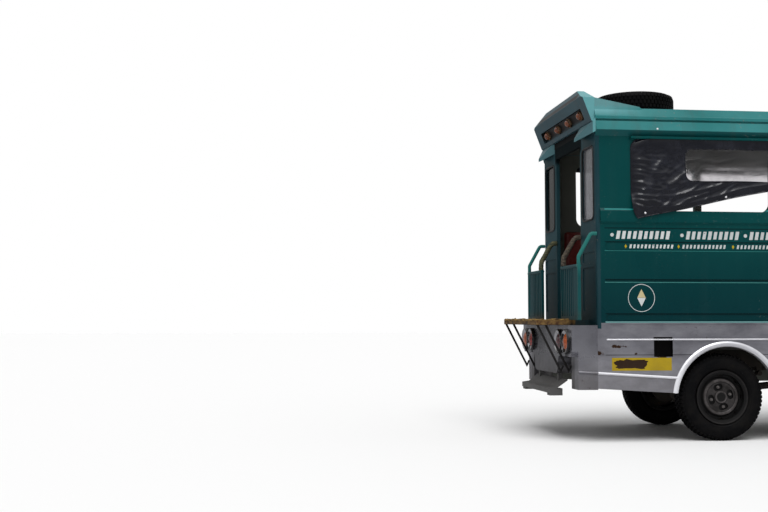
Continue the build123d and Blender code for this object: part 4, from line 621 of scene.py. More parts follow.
def deckPaint(name):
    # worn through to golden-brown rust, black below, and painted with the body where its sides meet the wall
    look = Finish(name, Specular_IOR_Level=0.25)
    flakes = look.place.cloud(26.0, 6.0, 0.7)
    rusty = flakes.ramp(0.4, 0.62).mix(deckLook["rust"], deckLook["bright"])
    rusty = look.place.cloud(9.0, 4.0).ramp(0.5, 0.62).mix(rusty, deckLook["trodden"])
    colour = look.z.ramp(deckLook["under"] + 0.002, deckLook["under"] - 0.002).mix(rusty, deckLook["underColour"])
    near = deckLook["paintedX"]
    ends = look.out.ramp(*deckLook["painted"], 0.0, 0.9) * look.x.ramp(near, near + 0.015)
    colour = ends.mix(colour, paintLooks["pillarGrey"][0])
    return look.done(colour, flakes.ramp(0.3, 0.7, 0.55, 0.85), None, flakes, 0.8, 0.006)


def rubberPaint(name):
    look = Finish(name, Specular_IOR_Level=0.05)
    dust = look.place.cloud(12.0, 6.0, 0.65).ramp(0.42, 0.75)
    colour = (dust * 0.4).mix(rubberLook["clean"], rubberLook["dusty"])
    return look.done(colour, dust.ramp(0.0, 1.0, 0.5, 0.8), None, look.place.cloud(160.0), 0.2, 0.002)


def wheelPaint(name, centre, flat=False):
    # dark rim barrel, black and in painted shade; worn brown-grey disc with painted shade and dirt in its dished
    # pockets and grooves, and painted highlights on its raised face and flange, by distance from the wheel's own axis
    # and middle
    look = Finish(name, Metallic=0.2, Specular_IOR_Level=0.2).weathered(1.0, 0.9, 0.1)
    ring, level, hub, dark = (wheelLook[key] for key in ("ring", "spokeLevel", "hubHole", "rimDark"))
    moved = look.place.vector("SUBTRACT", centre)
    radial = moved.vector("MULTIPLY", (1.0, 1.0, 0.0) if flat else (1.0, 0.0, 1.0))
    away = radial.vector("LENGTH", output="Value")
    out = moved.split()[2] if flat else look.out - wheelMiddle
    # painted highlight on the disc's raised face
    pale = away.ramp(ring + 0.003, ring - 0.003) * out.ramp(level - 0.004, level)
    pale = pale * away.ramp(hub, hub + 0.004, 0.05, 1.0)
    worn = look.place.cloud(14.0, 5.0, 0.65).ramp(0.35, 0.66)
    inner, outer = wheelLook["grooves"]
    # painted shade and dirt in the dished pockets
    dished = away.ramp(inner - 0.003, inner + 0.001) * away.ramp(outer + 0.0035, outer - 0.0015)
    disc = (dished * wheelLook["dished"]).mix(worn.mix(wheelLook["disc"], wheelLook["discDull"]), dark)
    # painted shade along the grooves
    for groove in wheelLook["grooves"]:
        pale = pale * (1.0 - abs(away - groove).ramp(0.0035, 0.0015, 0.0, 0.75))
    # painted highlight along the rim's flange
    flange = away.ramp(*wheelLook["flange"]) * wheelLook["flangeBright"]
    colour = look.dirty(pale.calc("MAXIMUM", flange).mix(dark, disc), wheelLook["rust"], chips=0.8)
    return look.done(colour, worn.ramp(0.0, 1.0, 0.38, 0.62), None, look.relief, 0.3, 0.006)


def lampChrome(name):
    # dished bezels: dull chrome inside, black rubber round the rim
    look = Finish(name)
    low, high = (distance(look.out - across, look.z - lampLook["height"]) for across in lampLook["across"])
    rim = low.calc("MINIMUM", high).ramp(lampLook["rim"] - 0.001, lampLook["rim"] + 0.001)
    stain = look.place.cloud(14.0, 4.0, 0.6).ramp(0.52, 0.72)
    colour = rim.mix(stain.mix(lampLook["dish"], lampLook["stain"]), lampLook["edge"])
    return look.done(colour, stain.ramp(0.0, 1.0, 0.12, 0.42), 1.0 - rim)


def clearSheet(name, tint, rough):
    look = Finish(name, Metallic=0.0, IOR=1.45, Transmission_Weight=1.0)
    mottle = look.place.cloud(5.0, 5.0, 0.7).ramp(0.45, 0.8)
    return look.done(mottle.mix(tint, tuple(0.82 * value for value in tint)), mottle * 0.12 + rough)


def windowGlass(name):
    # clear windscreen; the rear panes are mottled, pale on the near one and dark on the far one
    look = Finish(name, Metallic=0.0, IOR=1.45, Transmission_Weight=0.6)
    mottle = look.place.cloud(4.0, 5.0, 0.7).ramp(0.35, 0.75)
    rear = look.y.ramp(-0.1, 0.1).mix(mottle.mix(*paneLook["near"]), mottle.mix(*paneLook["far"]))
    return look.done(look.x.ramp(-1.5, -1.0).mix(rear, paneLook["screen"]), mottle * 0.08 + 0.03)


def lensPaint(name, colour, deep, ribs):
    # moulded lens with fine upright ribs and uneven depth of colour
    look = Finish(name, IOR=1.49, Coat_Weight=0.6, Transmission_Weight=0.2)
    wave = (look.y * ribs).calc("SINE")
    mottled = look.place.cloud(60.0)
    tone = (wave * 0.25 + mottled).ramp(0.2, 0.9)
    return look.done(tone.mix(deep, colour), mottled.ramp(0.3, 0.7, 0.12, 0.3), None, wave, 0.15, 0.001)


def vinylPaint(name, colour, worn, rough, creases, gloss=0.5):
    look = Finish(name, Specular_IOR_Level=gloss)
    rub = look.place.cloud(7.0, 5.0, 0.65).ramp(0.48, 0.75)
    relief = look.place.cloud(300.0, 2.0) * 0.02 + look.place.cloud(1.0, 3.0, 0.5, (4.0, 4.0, 22.0)) * creases
    return look.done(rub.mix(colour, worn), rub.ramp(0.0, 1.0, rough, rough + 0.22), None, relief, 0.4, 0.004)


def tornPaint(name, colour, worn):
    # old tape, bark-like cracks or loose rust
    look = Finish(name, Specular_IOR_Level=0.2)
    torn = look.place.cloud(1.0, 6.0, 0.7, (30.0, 30.0, 70.0))
    return look.done(torn.ramp(0.42, 0.58).mix(colour, worn), torn.ramp(0.3, 0.7, 0.5, 0.9), None, torn, 0.9, 0.004)


wheelCentres = {"rear": (-1.19, 0.0, 0.34), "front": (1.93, 0.0, 0.34)}
spareMiddle = (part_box("spare_wheel")[0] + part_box("spare_wheel")[1]) / 2
paints.update({
    "sideWall": sideWallPaint(), "roofPaint": roofPaint(), "guardPaint": guardPaint(), "headerPaint": headerPaint(),
    # the apron's sheet carries painted shade in its middle
    "steelSheet": steelPaint("polishedSheet", 1.0), "apronSheet": steelPaint("apronSheet", 0.52),
    "deck": deckPaint("platformRust"), "rubber": rubberPaint("tyreRubber"), "glass": windowGlass("windowGlass"),
    "rearWheel": wheelPaint("rearWheelPaint", wheelCentres["rear"]), "lampChrome": lampChrome("lampChrome"),
    "frontWheel": wheelPaint("frontWheelPaint", wheelCentres["front"]),
    "spareWheel": wheelPaint("spareWheelPaint", tuple(spareMiddle), True),
    "clearVinyl": clearSheet("clearVinyl", (0.6, 0.58, 0.6), 0.1),
})
for makePaint, looks in (
        # colour, deep colour, ribs
        (lensPaint, {"lensMarker": ((0.36, 0.085, 0.016), (0.05, 0.014, 0.006), 700.0),
                     "lensAmber": ((0.62, 0.13, 0.015), (0.26, 0.036, 0.006), 900.0),
                     "lensRed": ((0.44, 0.03, 0.018), (0.14, 0.008, 0.007), 900.0),
                     "lensMaroon": ((0.14, 0.014, 0.018), (0.04, 0.004, 0.007), 900.0),
                     "lensClear": ((0.72, 0.72, 0.7), (0.45, 0.45, 0.44), 500.0)}),
        # colour, worn colour, roughness, creases, gloss
        (vinylPaint, {"curtainVinyl": ((0.0035, 0.0042, 0.009), (0.01, 0.0118, 0.022), 0.2, 0.25),
                      "seatVinyl": ((0.15, 0.014, 0.011), (0.21, 0.034, 0.024), 0.36, 0.2),
                      "blackPlastic": ((0.01, 0.01, 0.011), (0.026, 0.025, 0.025), 0.45, 0.0),
                      "sealRubber": ((0.007, 0.007, 0.008), (0.02, 0.02, 0.021), 0.5, 0.1)}),
        # colour, worn colour
        (tornPaint, {"wrapBrown": ((0.03, 0.024, 0.02), (0.105, 0.085, 0.062)),
                     "wrapGreen": ((0.026, 0.036, 0.02), (0.12, 0.115, 0.06)),
                     "rustLoose": ((0.05, 0.026, 0.008), (0.3, 0.185, 0.055)),
                     "ringRust": ((0.06, 0.03, 0.014), (0.13, 0.085, 0.05))})):
    paints.update({name: makePaint(name, *values) for name, values in looks.items()})
print("materials made")


# CAD pieces take their finish

nodePaint = {
    "frameBlack": "chassis_frame fuel_tank",
    "oilySteel": "leaf_springs rear_axle front_axle knuckle_left knuckle_right tie_rod exhaust engine_block",
    "rubber": "tyre_rear_left tyre_rear_right tyre_front_left tyre_front_right spare_tyre",
    "rearWheel": "wheel_rear_left wheel_rear_right", "frontWheel": "wheel_front_left wheel_front_right",
    "spareWheel": "spare_wheel", "floorSheet": "floor", "sideWall": "side_wall_left side_wall_right",
    "pillarGrey": "rear_panel", "glass": "window_glass", "roofPaint": "roof", "headerPaint": "rear_header",
    "bodyTeal": "windscreen_frame cowl door_left door_right front_wings", "ringRust": "marker_lamps",
    "deck": "rear_platform", "guardPaint": "rear_guards", "apronSheet": "rear_valance", "lampChrome": "tail_lamps",
    "galvanised": "rear_step", "insideCream": "seat_frames", "seatVinyl": "bench_pads cab_pads",
    "curtainVinyl": "curtains", "chromeWorn": "grille headlamps front_bumper mirrors", "steelSheet": "bonnet",
    "blackPlastic": "steering_wheel",
}
for paint, nodes in nodePaint.items():
    for node in nodes.split():
        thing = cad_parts[node]
        if not thing.material_slots:
            thing.data.materials.append(paints[paint])
        for slot in thing.material_slots:
            slot.material = paints[paint]
print("CAD pieces dressed")


# Tyres with their tread, wheel nuts, and the brake drums' edges seen through the hand holes

tyreLook = {
    "top": 0.3398, "base": 0.3262, "around": 96, "lugs": 62, "lugLength": 0.0245, "shoulder": 0.06,
    "cut": (0.012, 0.01),  # how far a shoulder lug comes down at its foot and at its top
    # radius, distance from the middle of the tread: one side, outside in
    "section": ((0.33, 0.0), (0.33, 0.03), (0.3292, 0.056), (0.325, 0.072), (0.315, 0.0835), (0.305, 0.0895),
                (0.3035, 0.0915), (0.2995, 0.0915), (0.298, 0.0922), (0.282, 0.0958), (0.268, 0.0965),
                (0.252, 0.095), (0.24, 0.0915), (0.2385, 0.089), (0.235, 0.089), (0.233, 0.0885),
                (0.224, 0.084), (0.218, 0.076), (0.21, 0.072), (0.2085, 0.07)),
    # where each row of lugs starts and ends across the tread, and its turn in steps
    "rows": ((-0.014, 0.014, 0.0), (0.019, 0.045, 0.5), (-0.045, -0.019, 0.5), (0.05, 0.079, 0.0),
             (-0.079, -0.05, 0.0)),
}
nutLook = {"count": 4, "circle": 0.079, "first": 15.0, "size": 0.0125, "height": 0.012, "face": 0.0425}
drumRing = ((0.114, 0.016), (0.176, 0.016), (0.176, 0.02), (0.114, 0.02))  # radius, distance from the middle


def lugShape(low, high):
    # block on the tread: X outwards, Y round the tyre, Z across, with the outer edge cut off at a shoulder
    base, top, half = tyreLook["base"], tyreLook["top"], tyreLook["lugLength"] / 2
    outer = max(abs(low), abs(high)) > tyreLook["shoulder"]
    lowCut, highCut = outer and low < 0, outer and high > 0
    foot, crown = tyreLook["cut"]
    corners = ((base - foot * lowCut, low, 1.0), (top - crown * lowCut, low, 0.9),
               (top - crown * highCut, high, 0.9), (base - foot * highCut, high, 1.0))
    return loft([[(r, y * share, across) for r, across, share in corners] for y in (-half, half)])


def tyreParts(centre, turn):
    # turn is the Euler turn that takes the ring's Z axis to the wheel's axis
    side = tyreLook["section"]
    profile = [(r, y) for r, y in side] + [(r, -y) for r, y in reversed(side[1:])]
    axis = Matrix.Rotation(turn, 3, "X") @ Vector((0, 0, 1))
    step = math.tau / tyreLook["lugs"]
    return [spun(profile, centre, axis, tyreLook["around"], looped=True)] + [
        repeatPart(ringRepeat, lugShape(low, high), Count=tyreLook["lugs"], Radius=0.0001, Phase=step * phase,
                   Centre=centre, Turn=(turn, 0.0, 0.0)) for low, high, phase in tyreLook["rows"]]


def nutParts(centre, turn, side):
    size, height, face = nutLook["size"], nutLook["height"], nutLook["face"]
    profile = [(0.0, 0.0), (size, 0.0), (size, height), (size * 0.55, height * 1.05), (size * 0.5, height * 1.6),
               (0.0, height * 1.65)]
    points, faces = spun(profile, (0, 0, 0), (1, 0, 0), 6)
    return repeatPart(ringRepeat, ([(y, z, face + x) for x, y, z in points], faces), Count=nutLook["count"],
                      Radius=nutLook["circle"], Phase=math.radians(-nutLook["first"] * side), Centre=centre,
                      Turn=(turn, 0.0, 0.0))


for end, (x, _, z) in wheelCentres.items():
    for side, word in ((1, "left"), (-1, "right")):
        key, body = f"{end}_{word}", f"{end}_wheel_{word}"
        centre, turn = (x, side * wheelMiddle, z), -math.pi / 2 * side
        makePiece(f"treadTyre_{key}", tyreParts(centre, turn), "rubber", body, 30.0, (f"tyre_{key}",))
        makePiece(f"wheelNuts_{key}", [nutParts(centre, turn, side)], "nutSteel", body)
        makePiece(f"drumEdge_{key}", [spun(drumRing, centre, (0, side, 0), 64, looped=True)], "frameBlack", body)
spareCentre = tuple(sum(corner[k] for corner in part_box("spare_tyre")) / 2 for k in range(3))
makePiece("treadTyre_spare", tyreParts(spareCentre, 0.0), "rubber", "body", 30.0, ("spare_tyre",))
print("tyres made")


# Curtains: the right one let down, gathered along its rear edge, with a clear window; the left one rolled up

curtainLook = {
    "start": 0.279, "end": 2.605, "top": 2.38, "tall": 0.65, "cell": 0.0125, "rows": 64, "thick": 0.0016,
    "stand": 0.7835, "corner": 0.075, "gather": 0.015, "gatherPitch": 0.047, "gatherReach": 0.19,
    "hemCrease": 0.011, "hemPitch": 0.088, "pull": 0.009, "valley": 0.008, "levelCrease": 0.0065, "climbCrease": 0.008,
    "tied": (0.36, 1.76), "belt": 1.845, "swing": 0.048,
    # noise that bends the folds: size, steps along, seed, steps up
    "wander": (1.0, 3.0, 0.0, 3.0), "uneven": (1.0, 0.0, 2.0, 11.0), "bent": (0.02, 9.0, 7.0, 6.0),
    "shaken": (0.022, 0.0, 4.0, 7.0), "slow": (0.014, 2.6, 5.0, 3.4), "small": (0.0045, 9.0, 9.0, 9.0),
    "level": (1.0, 8.0, 11.0, 22.0),
    # along, lower edge
    "hem": ((0.279, 1.728), (0.351, 1.741), (0.6, 1.792), (1.042, 1.884), (1.4, 1.957), (1.75, 1.968),
            (2.605, 1.962)),
    "window": ((0.715, 2.032), (2.48, 2.285)), "windowCorner": 0.06, "snapTo": 0.55,
    # rope radius and how far it stands out: hem, rear edge, window
    "ropes": ((0.0042, 0.001), (0.004, 0.001), (0.0028, 0.0012)), "ropeFall": 0.637, "battenOut": 0.8,
    "snaps": ((0.367, 1.774), (1.042, 1.906), (1.72, 1.99), (2.4, 1.985)),
    # radius, height
    "snap": ((0.0, 0.0), (0.0085, 0.0), (0.00765, 0.004), (0.003825, 0.006), (0.0, 0.0062)),
    "rollHeight": 2.335, "rollRadius": 0.0355, "rollTurns": 5.85, "rollSteps": 150, "rollColumns": 56,
    "rollOut": 0.0395, "rollCore": 0.008, "rollThick": 0.0014,
    "straps": (0.62, 1.45, 2.28), "strapHalf": 0.014, "strapTop": 2.395,
}
curtainLong = curtainLook["end"] - curtainLook["start"]


def clip(value):
    return min(1.0, max(0.0, value))


def bell(value, width, power=2):
    return math.exp(-(value / width) ** power)


def ridge(value):
    # narrow crests at whole numbers, flat between them
    return (1.0 - abs(math.sin(math.pi * value))) ** 1.3


def wrinkle(value, width):
    # narrow crests where a noise crosses zero
    return max(0.0, 1.0 - abs(value) * width) ** 1.5


def wave(key, along, height):
    size, fine, seed, steep = curtainLook[key]
    return size * waver(along * fine, seed, height * steep)


def hemHeight(along):
    points = curtainLook["hem"]
    for (x0, z0), (x1, z1) in zip(points, points[1:]):
        if along <= x1:
            return z0 + (z1 - z0) * max(0.0, (along - x0) / (x1 - x0))
    return points[-1][1]


def curtainPlace(along, height):
    # where a point of the flat curtain comes to lie: folds stand out from the wall
    look = curtainLook
    drop, fromHem, run = look["top"] - height, height - hemHeight(along), along - look["start"]
    wander, uneven, level, slow, small = (wave(key, along, height) for key in (
        "wander", "uneven", "level", "slow", "small"))
    # gathers along the rear edge
    near = max(0.0, 1.0 - run / (look["gatherReach"] * (1.0 + 1.3 * uneven))) ** 0.7 * (1.0 + 0.8 * wander)
    tight = clip((drop - 0.08) / 0.12) * (1.0 + 0.7 * uneven)
    bent = 0.14 * run + wave("bent", run, height) + wave("shaken", run, height)
    lift = look["gather"] * ridge((height + bent) / look["gatherPitch"]) * near * tight
    # creases that run with the hem, strongest just above it
    crease = ridge((fromHem + 0.014 * wander + 0.02 * math.sin(along * 2.3)) / look["hemPitch"] + 0.35)
    lift += look["hemCrease"] * crease * bell(fromHem - 0.07, 0.11) * clip((run - 0.12) / 0.25)
    # pull from the tied lower corner towards the clear window, and a valley along the window's rear edge
    du, dv = along - look["tied"][0], height - look["tied"][1]
    lift += look["pull"] * ridge(math.atan2(dv, du) * 2.6 + 0.5 * wander) * bell(math.hypot(du, dv) - 0.34, 0.18)
    lift -= look["valley"] * bell(along - 0.69 - 0.02 * wander, 0.018) * clip(drop / 0.06) * bell(drop, 0.36, 4)
    lift += (slow + small) * clip(drop / 0.12)
    # loose wrinkles: short level ones near the rear edge, longer ones that climb towards the clear window
    climb = waver(along * 4.6 + height * 2.2, 13.0, height * 13.0 - along * 6.0)
    lift += look["levelCrease"] * wrinkle(level, 3.2) * bell(run, 0.34) * tight
    lift += look["climbCrease"] * wrinkle(climb, 3.6) * bell(max(0.0, run - 0.5), 0.6) * tight
    out = look["stand"] + max(-0.004, 0.004 + lift)
    # the rear edge lies down, and above the belt it touches the wall
    out -= bell(run, 0.03) * max(0.0, out - look["stand"] - 0.001)
    out -= bell(run, 0.045) * clip((height - look["belt"]) / 0.08) * (out - halfWidth - 0.0032)
    # the rear edge swings forward low down, and the upper corner is rounded like the window
    low = look["swing"] * clip(drop / 0.652) ** 12
    corner = max(0.0, look["corner"] - max(0.0, drop - 0.022))
    high = look["corner"] - math.sqrt(look["corner"] ** 2 - corner ** 2)
    slope = 0.004 * math.sin(along * 7.0) * clip(drop / 0.3)
    return Vector((rearX + along + (low + high) * max(0.0, 1.0 - run / 0.3), -out, height + slope))


def roundedAway(along, height, low, high, corner):
    # signed distance from a rounded rectangle, and the nearest point of its outline
    cu = min(max(along, low[0] + corner), high[0] - corner)
    cv = min(max(height, low[1] + corner), high[1] - corner)
    du, dv = along - cu, height - cv
    away = math.hypot(du, dv)
    if away < 1e-6:
        gap, nearest = min(((along - low[0], (low[0], height)), (high[0] - along, (high[0], height)),
                            (height - low[1], (along, low[1])), (high[1] - height, (along, high[1]))))
        return -gap, nearest
    return away - corner, (cu + du / away * corner, cv + dv / away * corner)


def gridFaces(columns, rows):
    corners = (column * (rows + 1) + row for column in range(columns) for row in range(rows))
    return [(a, a + 1, a + rows + 2, a + rows + 1) for a in corners]


def curtainGrid():
    # flat points snapped to the window's outline, faces of cloth and of window, and the cloth's area
    window = (*curtainLook["window"], curtainLook["windowCorner"])
    top, rows = curtainLook["top"], curtainLook["rows"]
    columns = round(curtainLong / curtainLook["cell"])
    flat, sheet, pane, area = [], [], [], 0.0
    for column in range(columns + 1):
        along = curtainLook["start"] + curtainLong * column / columns
        for row in range(rows + 1):
            height = top - (top - hemHeight(along)) * row / rows
            away, nearest = roundedAway(along, height, *window)
            flat.append(nearest if abs(away) < curtainLook["cell"] * curtainLook["snapTo"] else (along, height))
    for face in gridFaces(columns, rows):
        a, b, c, d = (flat[index] for index in face)
        if roundedAway(*(sum(corner[k] for corner in (a, b, c, d)) / 4 for k in (0, 1)), *window)[0] < 0.0:
            pane.append(face)
        else:
            sheet.append(face)
            area += abs((c[0] - a[0]) * (d[1] - b[1]) - (d[0] - b[0]) * (c[1] - a[1])) / 2
    return flat, sheet, pane, area


def clothPiece(name, points, faces, thick, paint, replaced=()):
    # one-sided cloth made into a thin closed sheet
    holder = linked(name, rawMesh(name, points, faces, 1e-5, loose=True))
    modifier = holder.modifiers.new("thick", "SOLIDIFY")
    modifier.thickness, modifier.offset = thick, 0.0
    closed = bpy.data.meshes.new_from_object(holder.evaluated_get(bpy.context.evaluated_depsgraph_get()))
    bpy.data.objects.remove(holder)
    closed.name = name
    return placePiece(name, smoothed(closed, 60.0), paint, replaced=replaced)


def makeRightCurtain():
    start, end, top, thick = (curtainLook[key] for key in ("start", "end", "top", "thick"))
    flat, sheetFaces, paneFaces, area = curtainGrid()
    points = [curtainPlace(u, v) for u, v in flat]
    cloth = clothPiece("curtainRight", points, sheetFaces, thick, "curtainVinyl", ("curtains",))
    pane = clothPiece("curtainPane", points, paneFaces, thick * 0.7, "clearVinyl")
    hem = [start + curtainLong * step / 180.0 for step in range(181)]
    lines = ([(u, hemHeight(u) + 0.003) for u in hem],
             [(start + 0.002, top - 0.01 - curtainLook["ropeFall"] * step / 60.0) for step in range(61)],
             roundedLoop(*curtainLook["window"], curtainLook["windowCorner"], 8))
    ropes = []
    for line, (radius, lift) in zip(lines, curtainLook["ropes"]):
        path = [curtainPlace(u, v) + Vector((0, -lift, 0)) for u, v in line]
        ropes.append(tube(path, radius, looped=line is lines[2]))
    welt = makePiece("curtainWelt", ropes, "curtainVinyl")
    snaps = [spun(curtainLook["snap"], curtainPlace(*spot) + Vector((0, -0.001, 0)), (0, -1, 0), 14)
             for spot in curtainLook["snaps"]]
    caps = makePiece("curtainSnaps", snaps, "cleanWhite")
    batten = brick((rearX + start - 0.006, -curtainLook["battenOut"], top - 0.022),
                   (rearX + end + 0.006, -halfWidth - 0.0006, top - 0.002), 0.002)
    rail = makePiece("curtainBatten", [batten], "bodyTeal")


def makeLeftRoll():
    # the sheet wound on itself, held by straps
    outer, half, height = (curtainLook[key] for key in ("rollRadius", "strapHalf", "rollHeight"))
    steps, columns = curtainLook["rollSteps"], curtainLook["rollColumns"]
    across = halfWidth + curtainLook["rollOut"]
    points, bands = [], []
    for column in range(columns + 1):
        x = rearX + curtainLook["start"] + curtainLong * column / columns
        sag = 0.003 * math.sin(x * 5.0) + 0.002 * waver(x * 6.0, 0, 0)
        tight = clip(min(abs(x - rearX - strap) for strap in curtainLook["straps"]) / 0.1)
        for step in range(steps + 1):
            part = step / steps
            angle = math.tau * curtainLook["rollTurns"] * part
            radius = curtainLook["rollCore"] + (outer - 0.019 + 0.003 * tight) * part
            radius += 0.0012 * waver(x * 9.0, math.cos(angle), math.sin(angle)) * part
            points.append((x, across + radius * math.cos(angle), height + radius * math.sin(angle) + sag))
    roll = clothPiece("curtainLeft", points, gridFaces(columns, steps), curtainLook["rollThick"], "curtainVinyl")
    for x in (rearX + strap for strap in curtainLook["straps"]):
        rings = []
        for angle in circle(28):
            point = Vector((x, (outer - 0.001) * math.cos(angle), (outer + 0.003) * math.sin(angle)))
            out = Vector((0, point.y, point.z)).normalized() * 0.0008
            rings.append([point + Vector((dx, across, height)) + out * way
                          for dx, way in ((-half, -1), (half, -1), (half, 1), (-half, 1))])
        bands.append(loft(rings, looped=True))
        bands.append(brick((x - half, halfWidth + 0.0006, height + 0.03),
                           (x + half, halfWidth + 0.003, curtainLook["strapTop"])))
    straps = makePiece("curtainStraps", bands, "curtainVinyl")


makeRightCurtain()
makeLeftRoll()
print("curtains made")


# Padded benches and cab seats

padLook = {"corner": 0.026, "crown": 0.016, "channel": 0.0075, "channelWidth": 0.01, "cell": 0.024, "tuck": 0.012,
           "piping": 0.0045, "fill": 0.7}


def padPart(low, high, face, across, seams):
    # box with round edges, crowned towards face, with sewn channels at the seams along the axis across
    size, middle, face = high - low, (low + high) / 2, Vector(face)
    counts = [max(4, round(length / padLook["cell"])) for length in size]
    axis = max(range(3), key=lambda k: abs(face[k]))
    flat = [k for k in range(3) if k != axis]
    inner = Vector([max(length / 2 - padLook["corner"], 0.001) for length in size])
    found, points, faces = {}, [], []

    def shaped(unit):
        # unit runs from -1 to 1 on each axis of the box's skin
        at = Vector([unit[k] * size[k] / 2 for k in range(3)])
        core = Vector([min(max(at[k], -inner[k]), inner[k]) for k in range(3)])
        if (at - core).length > 1e-6:
            at = core + (at - core).normalized() * padLook["corner"]
        if unit[axis] * face[axis] > 0:
            bulge = math.prod(max(0.0, 1.0 - abs(unit[k]) ** 4) for k in flat)
            at[axis] += face[axis] * padLook["crown"] * (bulge - 1.0)
            for seam in seams:
                dip = bell(middle[across] + at[across] - seam, padLook["channelWidth"])
                at[axis] -= face[axis] * padLook["channel"] * dip * bulge ** 0.3
        for k in flat:
            if size[k] <= 1.0:
                at[k] *= 1.0 - padLook["tuck"] * (1.0 - unit[axis] ** 2)
        return middle + at

    for k in range(3):
        a, b = [m for m in range(3) if m != k]
        for end in (0, counts[k]):
            for i, j in ((i, j) for i in range(counts[a]) for j in range(counts[b])):
                keys = []
                for di, dj in ((0, 0), (1, 0), (1, 1), (0, 1)):
                    key = [end] * 3
                    key[a], key[b] = i + di, j + dj
                    key = tuple(key)
                    if key not in found:
                        found[key] = len(points)
                        points.append(tuple(shaped([2.0 * key[m] / counts[m] - 1.0 for m in range(3)])))
                    keys.append(found[key])
                faces.append(tuple(keys))
    # piping round the middle of the pad's thickness
    level = (low[axis] + high[axis]) / 2
    path = []
    for u, v in roundedLoop([low[k] + 0.001 for k in flat], [high[k] - 0.001 for k in flat], padLook["corner"], 5):
        point = [level] * 3
        point[flat[0]], point[flat[1]] = u, v
        path.append(point)
    return [(points, faces), tube(path, padLook["piping"], looped=True)]


benchLow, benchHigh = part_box("bench_pads")
# low corner, high corner, crowned towards, axis across the channels, channels, CAD piece
padSpots = {
    "benchSeat": ((benchLow.x + 0.002, 0.342, benchLow.z + 0.001), (benchHigh.x - 0.002, 0.652, 1.365),
                  (0, 0, 1), 0, 17, "bench_pads"),
    "benchBack": ((benchLow.x + 0.002, 0.656, 1.338), (benchHigh.x - 0.002, 0.7235, benchHigh.z - 0.001),
                  (0, -1, 0), 0, 17, "bench_pads"),
    "cabSeat": ((0.562, 0.087, 1.0612), (0.998, 0.658, 1.159), (0, 0, 1), 1, 5, "cab_pads"),
    "cabBack": ((0.432, 0.087, 1.0812), (0.538, 0.658, 1.638), (1, 0, 0), 1, 5, "cab_pads"),
}
for name, (low, high, face, across, count, base) in padSpots.items():
    seams = [low[across] + (high[across] - low[across]) * (k + 1) / (count + 1) for k in range(count)]
    parts = padPart(Vector(low), Vector(high), face, across, seams)
    for side, word in bothSides:
        piece = makePiece(f"{name}{word}", parts if side > 0 else [mirrored(part) for part in parts], "seatVinyl",
                          sharp=60.0, replaced=(base,))
print("pads made")


# Lamp lenses

lensLook = {
    # plane each lens starts from, height, centres across, radius, start and rise of the dome, axis
    "tail": (-2.4153, 0.775, (0.435, 0.633), 0.064, 0.012, 0.018, (-1, 0, 0)),
    "head": (2.4903, 0.985, (0.335,), 0.078, 0.024, 0.018, (1, 0, 0)),
    "turn": (2.5303, 0.765, (0.6,), 0.036, 0.016, 0.014, (1, 0, 0)),
}
markerLook = {"up": 0.084, "sunk": 0.0317, "across": (-0.48, -0.16, 0.16, 0.48), "dome": (0.032, 0.018, 0.028)}


def lensPart(centre, axis, radius, start, rise, sides=40, steps=18):
    # domed lens that covers the lamp's own dome, with shallow rings
    bow, skin = (radius ** 2 + rise ** 2) / (2.0 * rise), 0.0005
    profile = [(0.0, start - 0.003), (radius + skin, start - 0.003), (radius + skin, start + skin)]
    for step in range(1, steps + 1):
        away = radius * (1.0 - step / steps)
        height = math.sqrt(bow ** 2 - away ** 2) - (bow - rise)
        profile.append((away, start + skin + height + 0.0004 * math.sin(step * 2.2) ** 2))
    return spun(profile, centre, axis, sides)


for key, (plane, height, spots, *dome, axis) in lensLook.items():
    for side, word in bothSides:
        for index, y in enumerate(spots):
            name = {"head": "lensClear", "turn": "lensAmber"}.get(
                key, "lensAmber" if index else "lensMaroon" if side < 0 else "lensRed")
            lens = lensPart((plane, side * y, height), axis, *dome)
            makePiece(f"{key}Lens{index}{word}", [lens], name)
headerUp, headerOut = Vector(headerLook["up"]), Vector(headerLook["out"])
markerLenses = []
for y in markerLook["across"]:
    centre = Vector((headerLook["origin"][0], y, headerLook["origin"][2])) + headerUp * markerLook["up"]
    markerLenses.append(lensPart(centre - headerOut * markerLook["sunk"], headerOut, *markerLook["dome"], 28, 10))
makePiece("markerLenses", markerLenses, "lensMarker")
print("lenses made")


# Painted marks on both sides: dots, lozenges, a round badge, plain patches and rows of slanted strokes

markLook = {
    "thick": 0.0007, "face": halfWidth + 0.0001, "inset": halfWidth - 0.0069, "last": 2.632,
    "dots": (0.124, 0.689, 1.209, 1.75, 2.29), "dotHeight": 1.606, "dotRadius": 0.014,
    # from the dot or lozenge: first stroke, last stroke, then pitch, height, width and lean of a stroke
    "strokes": (0.05, 0.45, 0.0425, 0.062, 0.027, 0.012), "smallStrokes": (0.04, 0.375, 0.031, 0.03, 0.016, 0.006),
    "lozenges": (0.235, 0.663, 1.109, 1.55, 1.99, 2.42), "lozengeHeight": 1.518, "lozengeSize": (0.01, 0.016),
    "ring": (0.354, 1.116, 0.108, 0.0045), "badge": (0.034, 0.066),
    "patch": (0.111, 0.59, 0.5535, 0.653), "scrape": ((0.128, 0.566), (0.4, 0.642)),
    "scrapeCorner": 0.03, "scrapeOut": 0.0004, "torn": 0.03,
}


def strokeRow(side, face, start, height, look):
    # one row of slanted strokes, baked by Geometry Nodes
    first, last, pitch, tall, wide, lean = look
    first, last = start + first, min(start + last, markLook["last"])
    outline = [(across * wide / 2 + up * lean / 2, up * tall / 2)
               for across, up in ((-1, -1), (1, -1), (1, 1), (-1, 1))]
    shape = slab(outline, lambda u, v, w: Vector((u, side * w, v)), markLook["thick"])
    return repeatPart(lineRepeat, shape, Count=round((last - first) / pitch) + 1, Vary=0.05,
                      Start=(rearX + first, side * face, height), End=(rearX + last, side * face, height))


